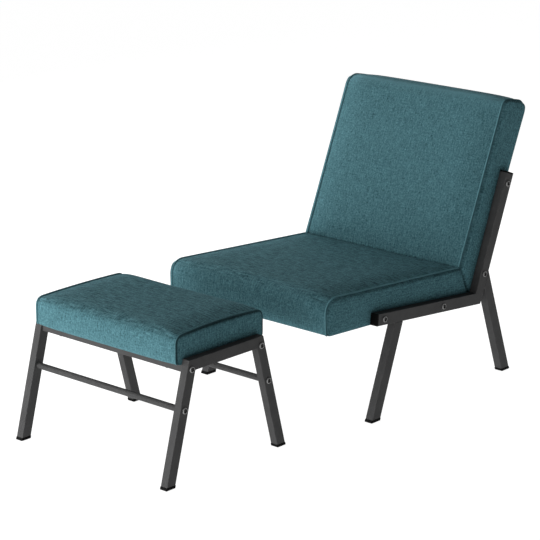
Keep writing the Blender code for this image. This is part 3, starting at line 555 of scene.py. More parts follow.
def endCaps():
    # flange with a rounded rim over the tube's end, and a plug in its bore
    tube, flange = chairFrame["tube"], chairFrame["capFlange"]
    half = tube[1] / 2
    rim, bore = capShape["round"], capShape["wall"] + capShape["slack"]
    insets = np.concatenate((rim - rim * np.sin(quarterTurn), [0.0, bore, bore]))
    levels = np.concatenate((rim - rim * np.cos(quarterTurn), [flange, flange, flange + capShape["plug"]]))
    places = {
        "rail_front_cap": (rail, 0.0, 1.0),
        "upright_top_cap": (upright, chairFrame["uprightLength"], -1.0),
    }
    for kind, (run, start, direction) in places.items():
        for side, sign in sides.items():
            x = sign * (chairFrame["width"] - tube[0]) / 2
            rings = []
            for inset, level in zip(insets, levels):
                profile = insetProfile(tube, inset)
                flat = onRun(run, np.full(len(profile), start + direction * level), half + profile[:, 1])
                rings.append(np.column_stack((x + profile[:, 0], flat)))
            node, angle = f"{kind}_{side}", capShape["smoothAngle"]
            cap = loftPiece(camel(node), np.array(rings), blackPlastic, "chair", angle)
            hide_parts(node)


def footCap(node, body, tube, lean):
    # level sole with a rounded rim, a flange a little wider than the leg and a plug up the leaning bore
    low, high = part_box(node)
    x = (low.x + high.x) / 2
    slope = math.tan(math.radians(lean))
    flange = chairFrame["footFlange"]
    levelDepth = tube[1] / math.cos(math.radians(lean))
    reach = levelDepth / 2 + capShape["lip"]
    middle = low.y + reach if lean > 0 else high.y - reach
    rim, top = capShape["soleRound"], capShape["topRound"]
    bore = capShape["wall"] + capShape["lip"] + capShape["slack"]
    soleArc, topArc = rim - rim * np.cos(quarterTurn), flange - top + top * np.sin(quarterTurn)
    insets = np.concatenate((rim - rim * np.sin(quarterTurn), top - top * np.cos(quarterTurn), [bore, bore]))
    levels = np.concatenate((soleArc, topArc, [flange, flange + capShape["plug"]]))
    rings = []
    for inset, level in zip(insets, levels):
        profile = insetProfile((tube[0], levelDepth), inset, capShape["lip"])
        across = middle + profile[:, 1] + level * slope
        rings.append(np.column_stack((x + profile[:, 0], across, np.full(len(profile), level))))
    cap = loftPiece(camel(node), np.array(rings), blackPlastic, body, capShape["smoothAngle"])
    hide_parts(node)


endCaps()
for side in sides:
    footCap(f"front_foot_cap_{side}", "chair", chairFrame["tube"], chairFrame["frontSplay"])
    footCap(f"rear_foot_cap_{side}", "chair", chairFrame["tube"], -chairFrame["rearSplay"])
    footCap(f"ottoman_front_foot_cap_{side}", "ottoman", ottomanFrame["tube"], legLean)
    footCap(f"ottoman_rear_foot_cap_{side}", "ottoman", ottomanFrame["tube"], -legLean)
print("caps made")


# Socket bolts

boltShape = {
    "head": 0.0155, "height": 0.003, "dome": 0.0011, "shank": 0.006, "screwShare": 0.83, "tip": 0.001,
    "socket": 0.0106, "socketDepth": 0.0026, "socketRings": 4, "drillShare": 0.4, "drillDepth": 0.0004,
    "footShare": 0.96, "footRound": 0.0002, "chamfer": 0.0003, "mouth": 0.0004, "land": 0.0011,
    "around": 60, "smoothAngle": 32.0,
}


def boltPiece(node, body, axis, out):
    # a turned profile whose inner rings are hexagons:
    # radius of a ring * (1, or the hexagon's reach at that angle)
    low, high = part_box(node)
    spans = np.array(high - low)
    head = boltShape["head"] if axis == 0 else spans[0]
    size = head / boltShape["head"]
    turns = np.linspace(0.0, 2 * math.pi, boltShape["around"], endpoint=False)
    hexReach = 1.0 / np.cos((turns + math.pi / 6) % (math.pi / 3) - math.pi / 6)
    top, dome = boltShape["height"], boltShape["dome"]
    radius, flat = head / 2, boltShape["socket"] / 2 * size
    length = spans[axis] - top
    shank = boltShape["shank"] / 2 * (boltShape["screwShare"] if axis == 2 else 1.0)
    floor = top - boltShape["socketDepth"]
    chamfer, tip = boltShape["chamfer"], boltShape["tip"]
    # radius, height, and 1 for a hexagon, from the socket's floor out and down to the tip
    rings = [
        (flat * boltShape["drillShare"], floor - boltShape["drillDepth"], 0),
        (flat * boltShape["footShare"], floor, 1), (flat, floor + boltShape["footRound"], 1),
        (flat, top - chamfer, 1), (flat + boltShape["mouth"], top, 1), (flat + boltShape["land"], top, 0),
    ]
    rings += [(radius - dome + dome * math.sin(a), top - dome + dome * math.cos(a), 0) for a in quarterTurn]
    rings += [(radius, chamfer, 0), (radius - chamfer, 0.0, 0)]
    rings += [(shank, 0.0, 0), (shank, tip - length, 0), (shank - tip, -length, 0)]
    shapes = np.array(rings)
    reach = shapes[:, :1] * np.where(shapes[:, 2:] > 0, hexReach, 1.0)
    points = np.empty(reach.shape + (3,))
    others = [k for k in range(3) if k != axis]
    middle = middleOf(node)
    seat = high[axis] - top if out > 0 else low[axis] + top
    points[:, :, axis] = seat + out * shapes[:, 1:2]
    points[:, :, others[0]] = middle[others[0]] + reach * np.cos(turns)
    points[:, :, others[1]] = middle[others[1]] + reach * np.sin(turns)
    name = camel(node.removeprefix("ottoman_"))
    bolt = loftPiece(name, points, platedSteel, body, boltShape["smoothAngle"])
    inside = np.arange(len(shapes)) < boltShape["socketRings"]
    setAttribute(bolt.data, "socket", np.repeat(inside, len(turns)))
    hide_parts(node)


for side, sign in sides.items():
    for kind in ("seat_bolt_front", "seat_bolt_rear", "back_bolt_low", "back_bolt_top"):
        boltPiece(f"{kind}_{side}", "chair", 0, sign)
    for end in ends:
        boltPiece(f"ottoman_crossbar_bolt_{end}_{side}", "ottoman", 0, sign)
        boltPiece(f"ottoman_stretcher_bolt_{end}_{side}", "ottoman", 0, sign)
        boltPiece(f"ottoman_board_screw_{end}_{side}", "ottoman", 2, -1)
print("bolts made")


# Upholstered pads

padCloth = {
    "step": 0.0075, "near": (0.0015, 0.004, 0.008, 0.0135), "border": (0.0035, 0.009, 0.0155),
    "panelTurn": 0.0088, "arcSteps": 24, "cordAngle": 60.0,
    "weltWidth": 0.0050, "weltRadius": 0.0024, "cordSteps": 14, "pull": (0.0, 0.0002, 0.0010, 0.0012),
    # reach of the painted seam shade and of the painted rim highlight
    "seamShadeReach": 0.0065, "seamShadeInside": 0.35, "rimHighlightReach": 0.012, "rimHighlightSide": 0.21,
    "fullness": 7, "crownPower": 14, "setBackPower": 40,
    "pressure": 4.0, "frames": 20, "quality": 6, "mass": 0.3, "bending": 1.5,
    "sideReach": 0.0022, "sideFree": 0.0025,
}
noEdge = (0, 0, 0, 0)


def spread(length):
    # shares of a length: close together at both ends, then even steps
    near = np.array(padCloth["near"])
    count = max(2, round((length - 2 * near[-1]) / padCloth["step"]))
    middle = np.linspace(near[-1], length - near[-1], count + 1)
    return np.concatenate(([0.0], near[:-1], middle, length - near[-2::-1], [length])) / length


def roundedOutline(corners, which):
    # corners (along, across, radius at the seams, radius in the middle, does an edge end there):
    # straight edges with an arc in each rounded corner, by the radius that is asked for
    places = np.array([corner[:2] for corner in corners])
    pieces, stops, count = [], [], 0
    for k, corner in enumerate(corners):
        radius, isEnd = corner[2 + which], corner[4]
        back = unit(places[k - 1] - places[k])
        ahead = unit(places[(k + 1) % len(corners)] - places[k])
        arc = places[k][None]
        if radius > 0:
            half = math.acos(np.dot(back, ahead)) / 2
            centre = places[k] + unit(back + ahead) * radius / math.sin(half)
            first = places[k] + back * radius / math.tan(half) - centre
            bend = math.copysign(math.pi - 2 * half, back[1] * ahead[0] - back[0] * ahead[1])
            steps = np.linspace(0.0, 1.0, padCloth["arcSteps"] + 1)
            turns = math.atan2(first[1], first[0]) + bend * steps
            arc = centre + radius * np.column_stack((np.cos(turns), np.sin(turns)))
        if isEnd:
            stops.append(count + len(arc) // 2)
        pieces.append(arc)
        count += len(arc)
    return np.vstack(pieces), stops


def outlineLoop(corners, shares, which):
    # the four edges of an outline in turn, each read at its shares of its own length
    points, stops = roundedOutline(corners, which)
    edges = []
    for k, stop in enumerate(stops):
        last = stops[(k + 1) % len(stops)]
        span = (last - stop) % len(points)
        line = points[(stop + np.arange(span + 1)) % len(points)]
        walked = walkedAlong(line)
        at = shares[k % 2][:-1] * walked[-1]
        edges.append(np.column_stack([np.interp(at, walked, line[:, axis]) for axis in (0, 1)]))
    return np.vstack(edges)


def edgeWalk(lengths):
    # steps round an outline of four edges: shares of both kinds of edge, points per edge, each point's share
    shares = [spread(length) for length in reversed(lengths)]
    edges = [shares[k % 2][:-1] for k in range(4)]
    return {"shares": shares, "counts": [len(edge) for edge in edges], "share": np.concatenate(edges)}


def alongEdges(walk, values, rounds=0):
    # one value per edge carried round the outline, and averaged with its neighbours some rounds
    ring = np.repeat(np.array(values, float), walk["counts"])
    for _ in range(rounds):
        ring = 0.25 * np.roll(ring, 1) + 0.5 * ring + 0.25 * np.roll(ring, -1)
    return ring


def fourEdges(walk, loop):
    # a closed row cut into its four edges, with facing edges running the same way
    cuts = np.cumsum([0] + walk["counts"])
    ring = np.concatenate((loop, loop[:1]))
    left, top, right, bottom = [ring[a:b + 1] for a, b in zip(cuts, cuts[1:])]
    return left, top, right[::-1], bottom[::-1]


def outwardOf(loop):
    # unit normals of a closed outline, turned outwards
    ahead = np.roll(loop, -1, axis=0) - np.roll(loop, 1, axis=0)
    normal = np.column_stack((ahead[:, 1], -ahead[:, 0]))
    normal /= np.linalg.norm(normal, axis=1, keepdims=True)
    area = np.sum(loop[:, 0] * np.roll(loop[:, 1], -1) - loop[:, 1] * np.roll(loop[:, 0], -1))
    return normal * np.sign(area)


def coonsPatch(walk, loop):
    # inside of a four-sided loop: both pairs of facing edges blended, less the corners' own blend
    left, top, right, bottom = fourEdges(walk, loop)
    u, v = walk["shares"][1][:, None, None], walk["shares"][0][None, :, None]
    sidesBlend = (1 - u) * left[None] + u * right[None]
    endsBlend = (1 - v) * bottom[:, None] + v * top[:, None]
    cornersBlend = (1 - u) * ((1 - v) * left[0] + v * left[-1]) + u * ((1 - v) * right[0] + v * right[-1])
    return sidesBlend + endsBlend - cornersBlend


def patchNumbers(walk, border, start):
    # vertex numbers of a patch: its border's own, and new ones inside from the first that is free
    grid = np.zeros([len(shares) for shares in reversed(walk["shares"])], int)
    grid[0], grid[:, -1], grid[-1], grid[:, 0] = fourEdges(walk, border)
    inside = grid[1:-1, 1:-1]
    inside[:] = start + np.arange(inside.size).reshape(inside.shape)
    return grid


def quadCorners(grid):
    # values of a grid of points at the corners of its quads
    index = np.arange(grid.shape[0] * grid.shape[1]).reshape(grid.shape[:2])
    return grid.reshape(-1, grid.shape[2])[gridQuads(index)]


def liftArch(flat, arch):
    # rise * (1 - (place / half) squared), growing from nothing at the bottom to full at the top
    share = np.clip(flat[:, :, 0] / arch["top"], 0, 1)
    flat[:, :, 0] += arch["rise"] * np.clip(1 - (flat[:, :, 1] / arch["half"]) ** 2, 0, 1) * share


def sinkRecess(flat, x, rest, isUnder):
    # the underside moved to a level inside a rectangle, with a short slope at its edges
    along, level = flat[:, :, rest["axis"]], flat[:, :, 1 - rest["axis"]]
    inX = smoothStep((rest["halfWidth"] - np.abs(x)) / rest["edge"] + 1.0)
    inY = smoothStep((along - rest["from"]) / rest["edge"]) * smoothStep((rest["to"] - along) / rest["edge"])
    level += (rest["level"] - level) * (inX * inY * isUnder)


def padStrip(pad, walk):
    # a strip carried round the outline from one side seam to the other:
    # outline + outward normal * (crown - pull of the seam - set-back), x from the seams;
    # the outline's corners are rounder at the seams than in the middle
    outline, middleOutline = [outlineLoop(pad["corners"], walk["shares"], which) for which in (0, 1)]
    rightOutline = outlineLoop(pad.get("rightCorners", pad["corners"]), walk["shares"], 0)
    normal = outwardOf(outline)
    bow = np.sin(math.pi * walk["share"])
    first, last = [alongEdges(walk, np.roll(pad["cornerCrown"], -k)) for k in (0, 1)]
    crown = first + (last - first) * smoothStep(walk["share"])
    crown += (alongEdges(walk, pad["crown"]) - (first + last) / 2) * np.sqrt(bow)
    draw = alongEdges(walk, pad["draw"], 3) * pad["drawIn"]
    seam = pad["flush"] - draw - alongEdges(walk, pad.get("pinch", noEdge)) * bow

    welt = padCloth["weltWidth"]
    border = np.concatenate(((0.0, welt / 2, welt), welt + np.array(padCloth["border"])))
    count = round((pad["flush"] - pad["drawIn"] - border[-1]) / padCloth["step"])
    middle = np.linspace(0.0, 1.0, count + 1)[:-1, None]
    halfX = np.vstack((middle * (seam - border[-1]), seam - border[::-1, None]))
    sink = np.zeros((len(halfX), 1))
    sink[-4:, 0] = padCloth["pull"]
    reachX = np.clip(halfX / (seam - welt), 0, 1)
    rise = (1 - reachX ** padCloth["crownPower"]) * crown - sink * alongEdges(walk, pad["sewn"], 2)
    rise -= reachX ** padCloth["setBackPower"] * alongEdges(walk, pad.get("setBack", noEdge), 3)
    full = (1 - reachX ** padCloth["fullness"])[:, :, None]
    left, right = [loop + full * (middleOutline - loop) for loop in (outline, rightOutline)]
    x = np.vstack((-halfX[:0:-1], halfX))
    flat = np.concatenate((left[:0:-1], right)) + normal * np.vstack((rise[:0:-1], rise))[:, :, None]
    if "arch" in pad:
        liftArch(flat, pad["arch"])
    if "recess" in pad:
        sinkRecess(flat, x, pad["recess"], alongEdges(walk, (0, 0, 0, 1)))
    strip = np.concatenate((x[:, :, None], flat), axis=2)
    return strip, seam, outline, (normal, outwardOf(rightOutline))


def stripShades(pad, walk, x, seam):
    # painted values: painted shade beside the seams, painted highlight by corners and seams, streaky where
    # sat on
    paintedSeamShade = np.zeros(x.shape)
    paintedSeamShade[[0, 1, 2, -3, -2, -1]] = alongEdges(walk, pad["seamShade"], 2)
    paintedSeamShade[[2, -3]] *= padCloth["seamShadeInside"]
    lengthA, lengthB = pad["lengths"]
    reach = alongEdges(walk, (lengthB, lengthA, lengthB, lengthA)) / padCloth["rimHighlightReach"]
    fromFirst = alongEdges(walk, pad["taut"]) * np.exp(-walk["share"] * reach)
    fromLast = alongEdges(walk, np.roll(pad["taut"], -1)) * np.exp((walk["share"] - 1) * reach)
    fromSide = padCloth["rimHighlightSide"] * np.exp((np.abs(x) - seam) / padCloth["rimHighlightReach"])
    taut = np.clip(fromFirst + fromLast + fromSide * alongEdges(walk, pad["sewn"], 2), 0, 1)
    sat = np.tile(alongEdges(walk, pad.get("sat", noEdge), 8), (len(x), 1))
    return {"paintedSeamShade": [paintedSeamShade.ravel()], "taut": [taut.ravel()], "sat": [sat.ravel()]}


def padShape(pad):
    # the strip, and a panel on each side that rounds out from its seam to lie flush
    walk = edgeWalk(pad["lengths"])
    strip, seam, outline, normals = padStrip(pad, walk)
    x = strip[:, :, 0]
    index = np.arange(x.size).reshape(x.shape)
    wideX = wrapped(x)
    walked = walkedAlong(np.vstack((outline, outline[:1])))
    clothPlace = np.stack((wideX, np.broadcast_to(walked, wideX.shape)), axis=-1)
    points, quads, uvs = [strip.reshape(-1, 3)], [gridQuads(wrapped(index))], [quadCorners(clothPlace)]
    held = np.tile(alongEdges(walk, pad["held"]), (len(x), 1))
    held[[0, 1, 2, -3, -2, -1]] = 1.0
    shades = stripShades(pad, walk, x, seam)

    lengthA, lengthB = pad["lengths"]
    u, v = walk["shares"][1][:, None] * lengthA, walk["shares"][0][None, :] * lengthB
    away = np.stack(np.broadcast_arrays(u, lengthB - v, lengthA - u, v))
    turn = np.clip(away.min(axis=0) / padCloth["panelTurn"], 0, 1)
    swell = np.sqrt(1 - (1 - turn) ** 2)
    # painted shade on the side panels beside the seams
    near = np.clip(1 - away / padCloth["seamShadeReach"], 0, 1) * np.array(pad["seamShade"])[:, None, None]
    panelSeamShade = near.max(axis=0)[1:-1, 1:-1].ravel()
    for sign, row in ((-1, 0), (1, -1)):
        patch = coonsPatch(walk, strip[row])
        patch[:, :, 0] += (sign * pad["flush"] - patch[:, :, 0]) * swell
        quads.append(gridQuads(patchNumbers(walk, index[row], sum(map(len, points)))))
        points.append(patch[1:-1, 1:-1].reshape(-1, 3))
        uvs.append(quadCorners(patch[:, :, 2:0:-1]))
        shades["paintedSeamShade"].append(panelSeamShade)
        shades["taut"].append(0.0 * panelSeamShade)
        shades["sat"].append(0.0 * panelSeamShade)
    local = np.vstack(points)
    world = np.column_stack((local[:, 0] + pad["middle"], onRun(pad["run"], local[:, 1], local[:, 2])))
    return {
        "points": world, "quads": np.vstack(quads), "uv": np.vstack(uvs), "seams": (index[1], index[-2]),
        "held": held.ravel(), "panelFrom": x.size, "normals": normals, "walk": walk,
        "shades": {label: np.concatenate(parts) for label, parts in shades.items()},
    }


def padMesh(name, shape):
    mesh = bpy.data.meshes.new(name)
    mesh.from_pydata(shape["points"].tolist(), [], shape["quads"].tolist())
    layer = mesh.uv_layers.new(name="weave")
    layer.data.foreach_set("uv", shape["uv"].astype(np.float32).ravel())
    faceOutwards(mesh)
    return mesh


def inflate(mesh, held):
    # the cover swells under pressure from the foam, held at the seams and wherever it is stapled or clamped
    trial = bpy.data.objects.new(mesh.name + "Trial", mesh.copy())
    bpy.context.scene.collection.objects.link(trial)
    group = trial.vertex_groups.new(name="held")
    group.add(np.flatnonzero(held > 0.5).tolist(), 1.0, "REPLACE")
    cloth = trial.modifiers.new("cover", "CLOTH")
    cloth.settings.quality = padCloth["quality"]
    cloth.settings.mass = padCloth["mass"]
    cloth.settings.vertex_group_mass = "held"
    cloth.settings.use_pressure = True
    cloth.settings.uniform_pressure_force = padCloth["pressure"]
    cloth.settings.effector_weights.gravity = 0.0
    cloth.settings.bending_stiffness = padCloth["bending"]
    cloth.collision_settings.use_collision = False
    cloth.point_cache.frame_end = padCloth["frames"]
    scene = bpy.context.scene
    for number in range(1, padCloth["frames"] + 1):
        scene.frame_set(number)
    swollen = trial.evaluated_get(bpy.context.evaluated_depsgraph_get())
    points = np.empty(len(swollen.data.vertices) * 3)
    swollen.data.vertices.foreach_get("co", points)
    trialMesh = trial.data
    bpy.data.objects.remove(trial)
    bpy.data.meshes.remove(trialMesh)
    scene.frame_set(1)
    return points.reshape(-1, 3)


def capped(shift, reach):
    # a move that grows ever slower and stays below its reach
    size = np.maximum(np.linalg.norm(shift, axis=1, keepdims=True), 1e-9)
    return shift / size * reach * np.tanh(size / reach)


def buildPad(name, node, body, pad):
    shape = padShape(pad)
    mesh = padMesh(name, shape)
    points = shape["points"]
    shift = inflate(mesh, shape["held"]) - points
    reach = np.full((len(points), 1), pad["reach"])
    reach[shape["panelFrom"]:] = padCloth["sideReach"]
    moved = points + capped(shift, reach)
    local = moved[:, 0] - pad["middle"]
    room = pad["flush"] + padCloth["sideFree"] * pad["clear"](moved[:, 1:])
    least = np.abs(points[:, 0] - pad["middle"])
    least[:shape["panelFrom"]] = 0.0
    moved[:, 0] = pad["middle"] + np.sign(local) * np.minimum(np.maximum(np.abs(local), least), room)
    most = float(np.linalg.norm(moved - points, axis=1).max())
    print(name, "swelled by up to", round(1000 * most, 1), "mm")
    points = moved
    mesh.vertices.foreach_set("co", points.ravel())
    mesh.update()
    mesh.materials.append(tealWeave)
    for label, values in shape["shades"].items():
        setAttribute(mesh, label, values)
    piece = bpy.data.objects.new(name, mesh)
    bpy.context.scene.collection.objects.link(piece)
    subdivided(piece, "smoothCover")
    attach(piece, body)
    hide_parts(node)
    addWelts(name, shape, points, pad, body)


def addWelts(name, shape, points, pad, body):
    # a round cord carried along each side seam: seam + outward normal and X, turned through a circle
    isSewn = np.flatnonzero(alongEdges(shape["walk"], pad["sewn"]) > 0.5)
    order = np.append(isSewn, (isSewn[-1] + 1) % shape["seams"][0].size)
    seamShade = alongEdges(shape["walk"], pad["seamShade"], 2)[order]
    radius = padCloth["weltRadius"]
    turns = np.linspace(0.0, 2 * math.pi, padCloth["cordSteps"], endpoint=False)
    for side, seam, normal in zip(sides, shape["seams"], shape["normals"]):
        outward = normal[order] @ np.stack((pad["run"]["along"], pad["run"]["across"]))
        path = points[seam[order]].copy()
        path[:, 1:] += outward * (pad["weltProud"] - radius + padCloth["pull"][2])
        ring = np.empty((len(path), len(turns), 3))
        ring[:, :, 0] = path[:, :1] + radius * np.cos(turns)
        ring[:, :, 1:] = path[:, None, 1:] + radius * np.sin(turns)[None, :, None] * outward[:, None, :]
        label, angle = camel(f"{name}Welt_{side}"), padCloth["cordAngle"]
        welt = loftPiece(label, ring, tealWeave, body, angle)
        # painted shade on the cord's side towards the panel
        cordShadedSide = seamShade[:, None] * np.clip(sides[side] * np.cos(turns), 0, 1)
        setAttribute(welt.data, "paintedSeamShade", cordShadedSide.ravel())
        # painted highlight share for the whole cord
        setAttribute(welt.data, "cord", np.full(cordShadedSide.size, pad["cordHighlight"]))
        walked = walkedAlong(path)[:, None]
        bias = np.stack((walked + radius * turns, walked - radius * turns), -1).reshape(-1, 2) / math.sqrt(2)
        layer = welt.data.uv_layers.new(name="weave")
        corner = np.empty(len(welt.data.loops), int)
        welt.data.loops.foreach_get("vertex_index", corner)
        layer.data.foreach_set("uv", bias[corner].astype(np.float32).ravel())
        subdivided(welt, "smoothCord")


chairFlush = chairFrame["width"] / 2 - chairFrame["tube"][0] - chairFrame["gap"]
seatSize = {"overhang": 0.1628, "rake": 0.0124, "drop": 0.0085, "frontRise": 0.0571, "rearRise": 0.0724,
            "low": 0.0015, "nose": 0.026, "seamNose": 0.038, "under": 0.0335, "crease": 0.007,
            "seamCrease": 0.012}
backSize = {"lowDepth": 0.0605, "frontHeight": 0.532, "frontDepth": 0.0504, "rearHeight": 0.5505,
            "rearDepth": 0.0535, "heelDepth": 0.040, "heel": 0.004, "front": 0.018, "seamFront": 0.042,
            "seamFrontRight": 0.024, "rear": 0.026, "seamRear": 0.028, "crease": 0.007, "seamCrease": 0.010}
# how far from a tube a side panel is free to swell, and over what length it gets free
sideRoom = {"over": 0.002, "beyond": 0.004, "fade": 0.018, "ottomanFade": 0.016}


def crossing(a, b, c, d):
    # where the line a b meets the line c d
    solve = np.linalg.solve(np.column_stack((b - a, c - d)), c - a)
    return a + solve[0] * (b - a)


def placeOn(run, point):
    away = point - run["start"]
    return np.array((np.dot(away, run["along"]), np.dot(away, run["across"])))


lowFront = chairFrame["tube"][1] + seatSize["drop"]
noseAlong = -seatSize["overhang"] - seatSize["rake"]
crease = crossing(
    onRun(rail, noseAlong, -seatSize["frontRise"]),
    onRun(rail, chairFrame["railLength"], -seatSize["rearRise"]),
    onRun(upright, 0.0, -backSize["lowDepth"]),
    onRun(upright, backSize["frontHeight"], -backSize["frontDepth"]),
)
seatCrease, backCrease = placeOn(rail, crease), placeOn(upright, crease)
gap = chairFrame["gap"]
railLength = chairFrame["railLength"]
seatHeel = railLength + seatSize["under"] * (seatCrease[0] - railLength) / seatCrease[1]
backHeel = backSize["heelDepth"] * backCrease[0] / backCrease[1]


def clearOfChairTubes(yz):
    # 0 beside a rail or upright, 1 well above or in front of them
    def clearOf(run, beyond):
        over = -(yz - run["start"]) @ run["across"]
        return smoothStep(np.maximum(over - sideRoom["over"], beyond - sideRoom["beyond"]) / sideRoom["fade"])

    beforeRail = -(yz - rail["start"]) @ rail["along"]
    beyondTop = (yz - upright["start"]) @ upright["along"] - chairFrame["uprightLength"]
    return clearOf(rail, beforeRail) * clearOf(upright, beyondTop)


seatPad = {
    "run": rail, "middle": 0.0, "flush": chairFlush, "drawIn": 0.0091, "reach": 0.003,
    "corners": (
        (-seatSize["overhang"], lowFront, seatSize["low"], seatSize["low"], True),
        (noseAlong, -seatSize["frontRise"], seatSize["seamNose"], seatSize["nose"], True),
        (seatCrease[0] - gap, seatCrease[1], seatSize["seamCrease"], seatSize["crease"], True),
        (seatHeel - gap, seatSize["under"], 0.0, 0.0, True),
        (0.0, seatSize["under"], 0.0, 0.0, False),
    ),
    "lengths": (0.58, 0.10),
    "sewn": (1, 1, 1, 0), "draw": (1, 1, 0.9, 0.12), "held": (0, 0, 1, 1),
    # per edge: painted highlight near the corners, painted shade along the seams; the cord share is a painted
    # highlight
    "setBack": (0, 0, 0.0036, 0), "sat": (0, 1, 0, 0), "taut": (0.25, 0.07, 0, 0),
    "seamShade": (0.5, 0.08, 0.3, 0), "weltProud": 0.0024, "cordHighlight": 1.0,
    "crown": (0.005, 0.006, 0, 0), "cornerCrown": (0, 0.005, 0, 0),
    "recess": {"axis": 0, "from": -0.1392, "to": 0.4122, "halfWidth": 0.2809, "edge": 0.002, "level": 0.0287},
    "clear": clearOfChairTubes,
}


def backCorners(seamFront):
    return (
        (backHeel + gap, backSize["heelDepth"], backSize["heel"], backSize["heel"], True),
        (backCrease[0] + gap, backCrease[1], backSize["seamCrease"], backSize["crease"], True),
        (backSize["frontHeight"], -backSize["frontDepth"], seamFront, backSize["front"], True),
        (backSize["rearHeight"], backSize["rearDepth"], backSize["seamRear"], backSize["rear"], True),
    )


backPad = {
    "run": upright, "middle": 0.0, "flush": chairFlush, "drawIn": 0.0091, "reach": 0.003,
    "corners": backCorners(backSize["seamFront"]), "rightCorners": backCorners(backSize["seamFrontRight"]),
    "lengths": (0.54, 0.115),
    "sewn": (0, 1, 1, 1), "draw": (0.9, 1, 1, 1), "held": (1, 0, 0, 0),
    # per edge: painted highlight near the corners, painted shade along the seams; the cord share is a painted
    # highlight
    "taut": (0, 0, 1, 0.6), "seamShade": (0, 0.45, 0.45, 0.60), "weltProud": 0.0028, "cordHighlight": 1.0,
    "crown": (0, 0.010, 0.0040, 0.007), "cornerCrown": (0, 0, 0.0045, 0.004),
    "clear": clearOfChairTubes,
}

ottomanSize = {"depth": 0.309, "height": 0.0725, "round": 0.018, "seamRound": 0.019, "lowRound": 0.012,
               "edgeRound": 0.004, "arch": 0.0052, "pinch": 0.005, "rim": 0.0115}
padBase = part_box("ottoman_dust_cover")[0].z
ottomanRun = sideRun(ottomanY, padBase, 0.0)
padHalf = ottomanSize["depth"] / 2
ottomanFlush = ottomanFrame["width"] / 2 - ottomanFrame["tube"][0] - ottomanFrame["gap"]


def clearOfOttomanRail(yz):
    return smoothStep((yz[:, 1] - ottomanFrame["height"] - sideRoom["over"]) / sideRoom["ottomanFade"])


ottomanPad = {
    "run": ottomanRun, "middle": ottomanX, "flush": ottomanFlush, "drawIn": 0.0, "reach": 0.003,
    "corners": (
        (0.0, -padHalf, ottomanSize["lowRound"], ottomanSize["edgeRound"], True),
        (ottomanSize["height"], -padHalf, ottomanSize["seamRound"], ottomanSize["round"], True),
        (ottomanSize["height"], padHalf, ottomanSize["seamRound"], ottomanSize["round"], True),
        (0.0, padHalf, ottomanSize["lowRound"], ottomanSize["edgeRound"], True),
    ),
    "lengths": (0.305, 0.070),
    "sewn": (1, 1, 1, 0), "draw": (1, 1, 1, 0.2), "held": (0, 0, 0, 1),
    # per edge: painted highlight near the corners, painted shade along the seams; the cord share is a painted
    # highlight
    "pinch": (0, ottomanSize["pinch"], 0, 0), "sat": (0, 1, 0, 0), "taut": (0.28, 0, 0, 0.14),
    "seamShade": (0.85, 0.85, 0.85, 0), "weltProud": 0.0026, "cordHighlight": 0.4,
    "crown": (0.005, 0.006, 0.004, 0), "cornerCrown": (0, 0.005, 0.006, 0),
    "arch": {"rise": ottomanSize["arch"], "top": ottomanSize["height"], "half": padHalf},
    "recess": {"axis": 1, "from": ottomanSize["rim"] - padHalf, "to": padHalf - ottomanSize["rim"],
               "halfWidth": 0.2448, "edge": 0.002, "level": 0.0012},
    "clear": clearOfOttomanRail,
}
buildPad("seatPad", "seat_cushion", "chair", seatPad)
buildPad("backPad", "back_cushion", "chair", backPad)
buildPad("ottomanPad", "ottoman_cushion", "ottoman", ottomanPad)
print("pads made")


# Floor, light and camera

white = grey(1.0)
studio = {
    "floorSize": 60.0, "roomGlow": 0.10, "floorDark": grey(0.22), "floorLight": grey(0.26), "cloudSize": 1.5,
    "gloss": {"Roughness": 0.9, "Specular IOR Level": 0.1,
              "Emission Strength": 0.97, "Emission Color": white},
}


def floorPaint(shade, look):
    cloud = shade.objectPlace().grain(look["cloudSize"], 2.0, 0.5)
    return {"Base Color": cloud.blend(look["floorDark"], look["floorLight"])}


def buildFloor():
    half = studio["floorSize"] / 2
    mesh = bpy.data.meshes.new("studioFloor")
    corners = [(-half, -half, 0), (half, -half, 0), (half, half, 0), (-half, half, 0)]
    mesh.from_pydata(corners, [], [(0, 1, 2, 3)])
    mesh.materials.append(makeFinish("paleFloor", studio, floorPaint))
    floor = bpy.data.objects.new("studioFloor", mesh)
    bpy.context.scene.collection.objects.link(floor)


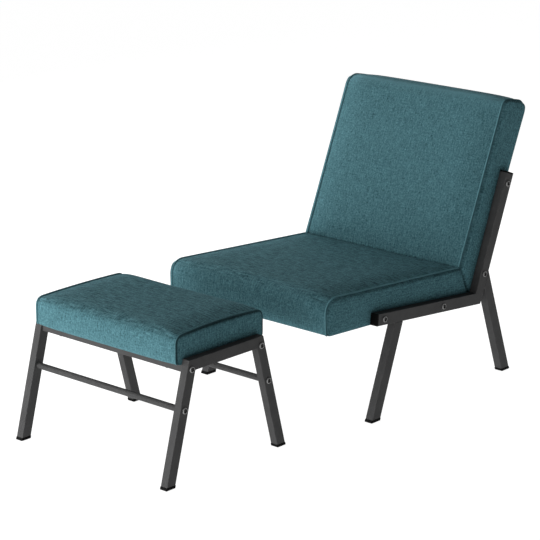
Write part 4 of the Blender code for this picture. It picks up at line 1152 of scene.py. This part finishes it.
lamps = {
    "left": {"place": (-3.5, -0.3, 1.2), "size": 2.0, "power": 131.0},
    "lowNearLeft": {"place": (-1.3, -2.0, 0.35), "size": 1.2, "power": 21.5},
    "lowNearFront": {"place": (-0.2, -2.4, 0.35), "size": 1.2, "power": 22.5},
    "farFront": {"place": (0.3, -4.5, 1.2), "size": 2.0, "power": 43.0},
    "highRearLeft": {"place": (-2.5, 1.6, 2.4), "size": 2.0, "power": 5.0},
    "rearLeft": {"place": (-1.0, 1.6, 1.5), "size": 2.0, "power": 20.0},
}
lampAim = (0.0, -0.2, 0.3)


def aimed(item, place, aim):
    toward = np.array(aim, float) - np.array(place, float)
    item.location = place
    flatReach = math.hypot(toward[0], toward[1])
    tilt = math.pi / 2 + math.atan2(toward[2], flatReach)
    item.rotation_euler = (tilt, 0.0, math.atan2(-toward[0], toward[1]))


def buildLight():
    for name, lamp in lamps.items():
        data = bpy.data.lights.new(name, "AREA")
        data.shape = "DISK"
        data.size = lamp["size"]
        data.energy = lamp["power"]
        item = bpy.data.objects.new(name, data)
        bpy.context.scene.collection.objects.link(item)
        aimed(item, lamp["place"], lampAim)
    world = bpy.data.worlds.new("softRoom")
    bpy.context.scene.world = world
    world.use_nodes = True
    shade = Shade(world.node_tree)
    seen = shade.node("ShaderNodeLightPath", {}, {}, "Is Camera Ray")
    background = world.node_tree.nodes["Background"]
    background.inputs["Color"].default_value = white
    shade.feed(background.inputs["Strength"], studio["roomGlow"] + (1.0 - studio["roomGlow"]) * seen)


view = {"lens": 147.93, "sensor": 36.0, "azimuth": 41.872, "elevation": 16.140,
        "place": (3.7610, -4.2450, 2.0021)}


def buildCamera():
    data = bpy.data.cameras.new("photoView")
    data.lens = view["lens"]
    data.sensor_width = view["sensor"]
    camera = bpy.data.objects.new("photoView", data)
    camera.location = view["place"]
    camera.rotation_euler = (math.radians(90.0 - view["elevation"]), 0.0, math.radians(view["azimuth"]))
    bpy.context.scene.collection.objects.link(camera)
    bpy.context.scene.camera = camera


buildFloor()
buildLight()
buildCamera()
bpy.context.scene.view_settings.view_transform = "Standard"
print("studio ready")
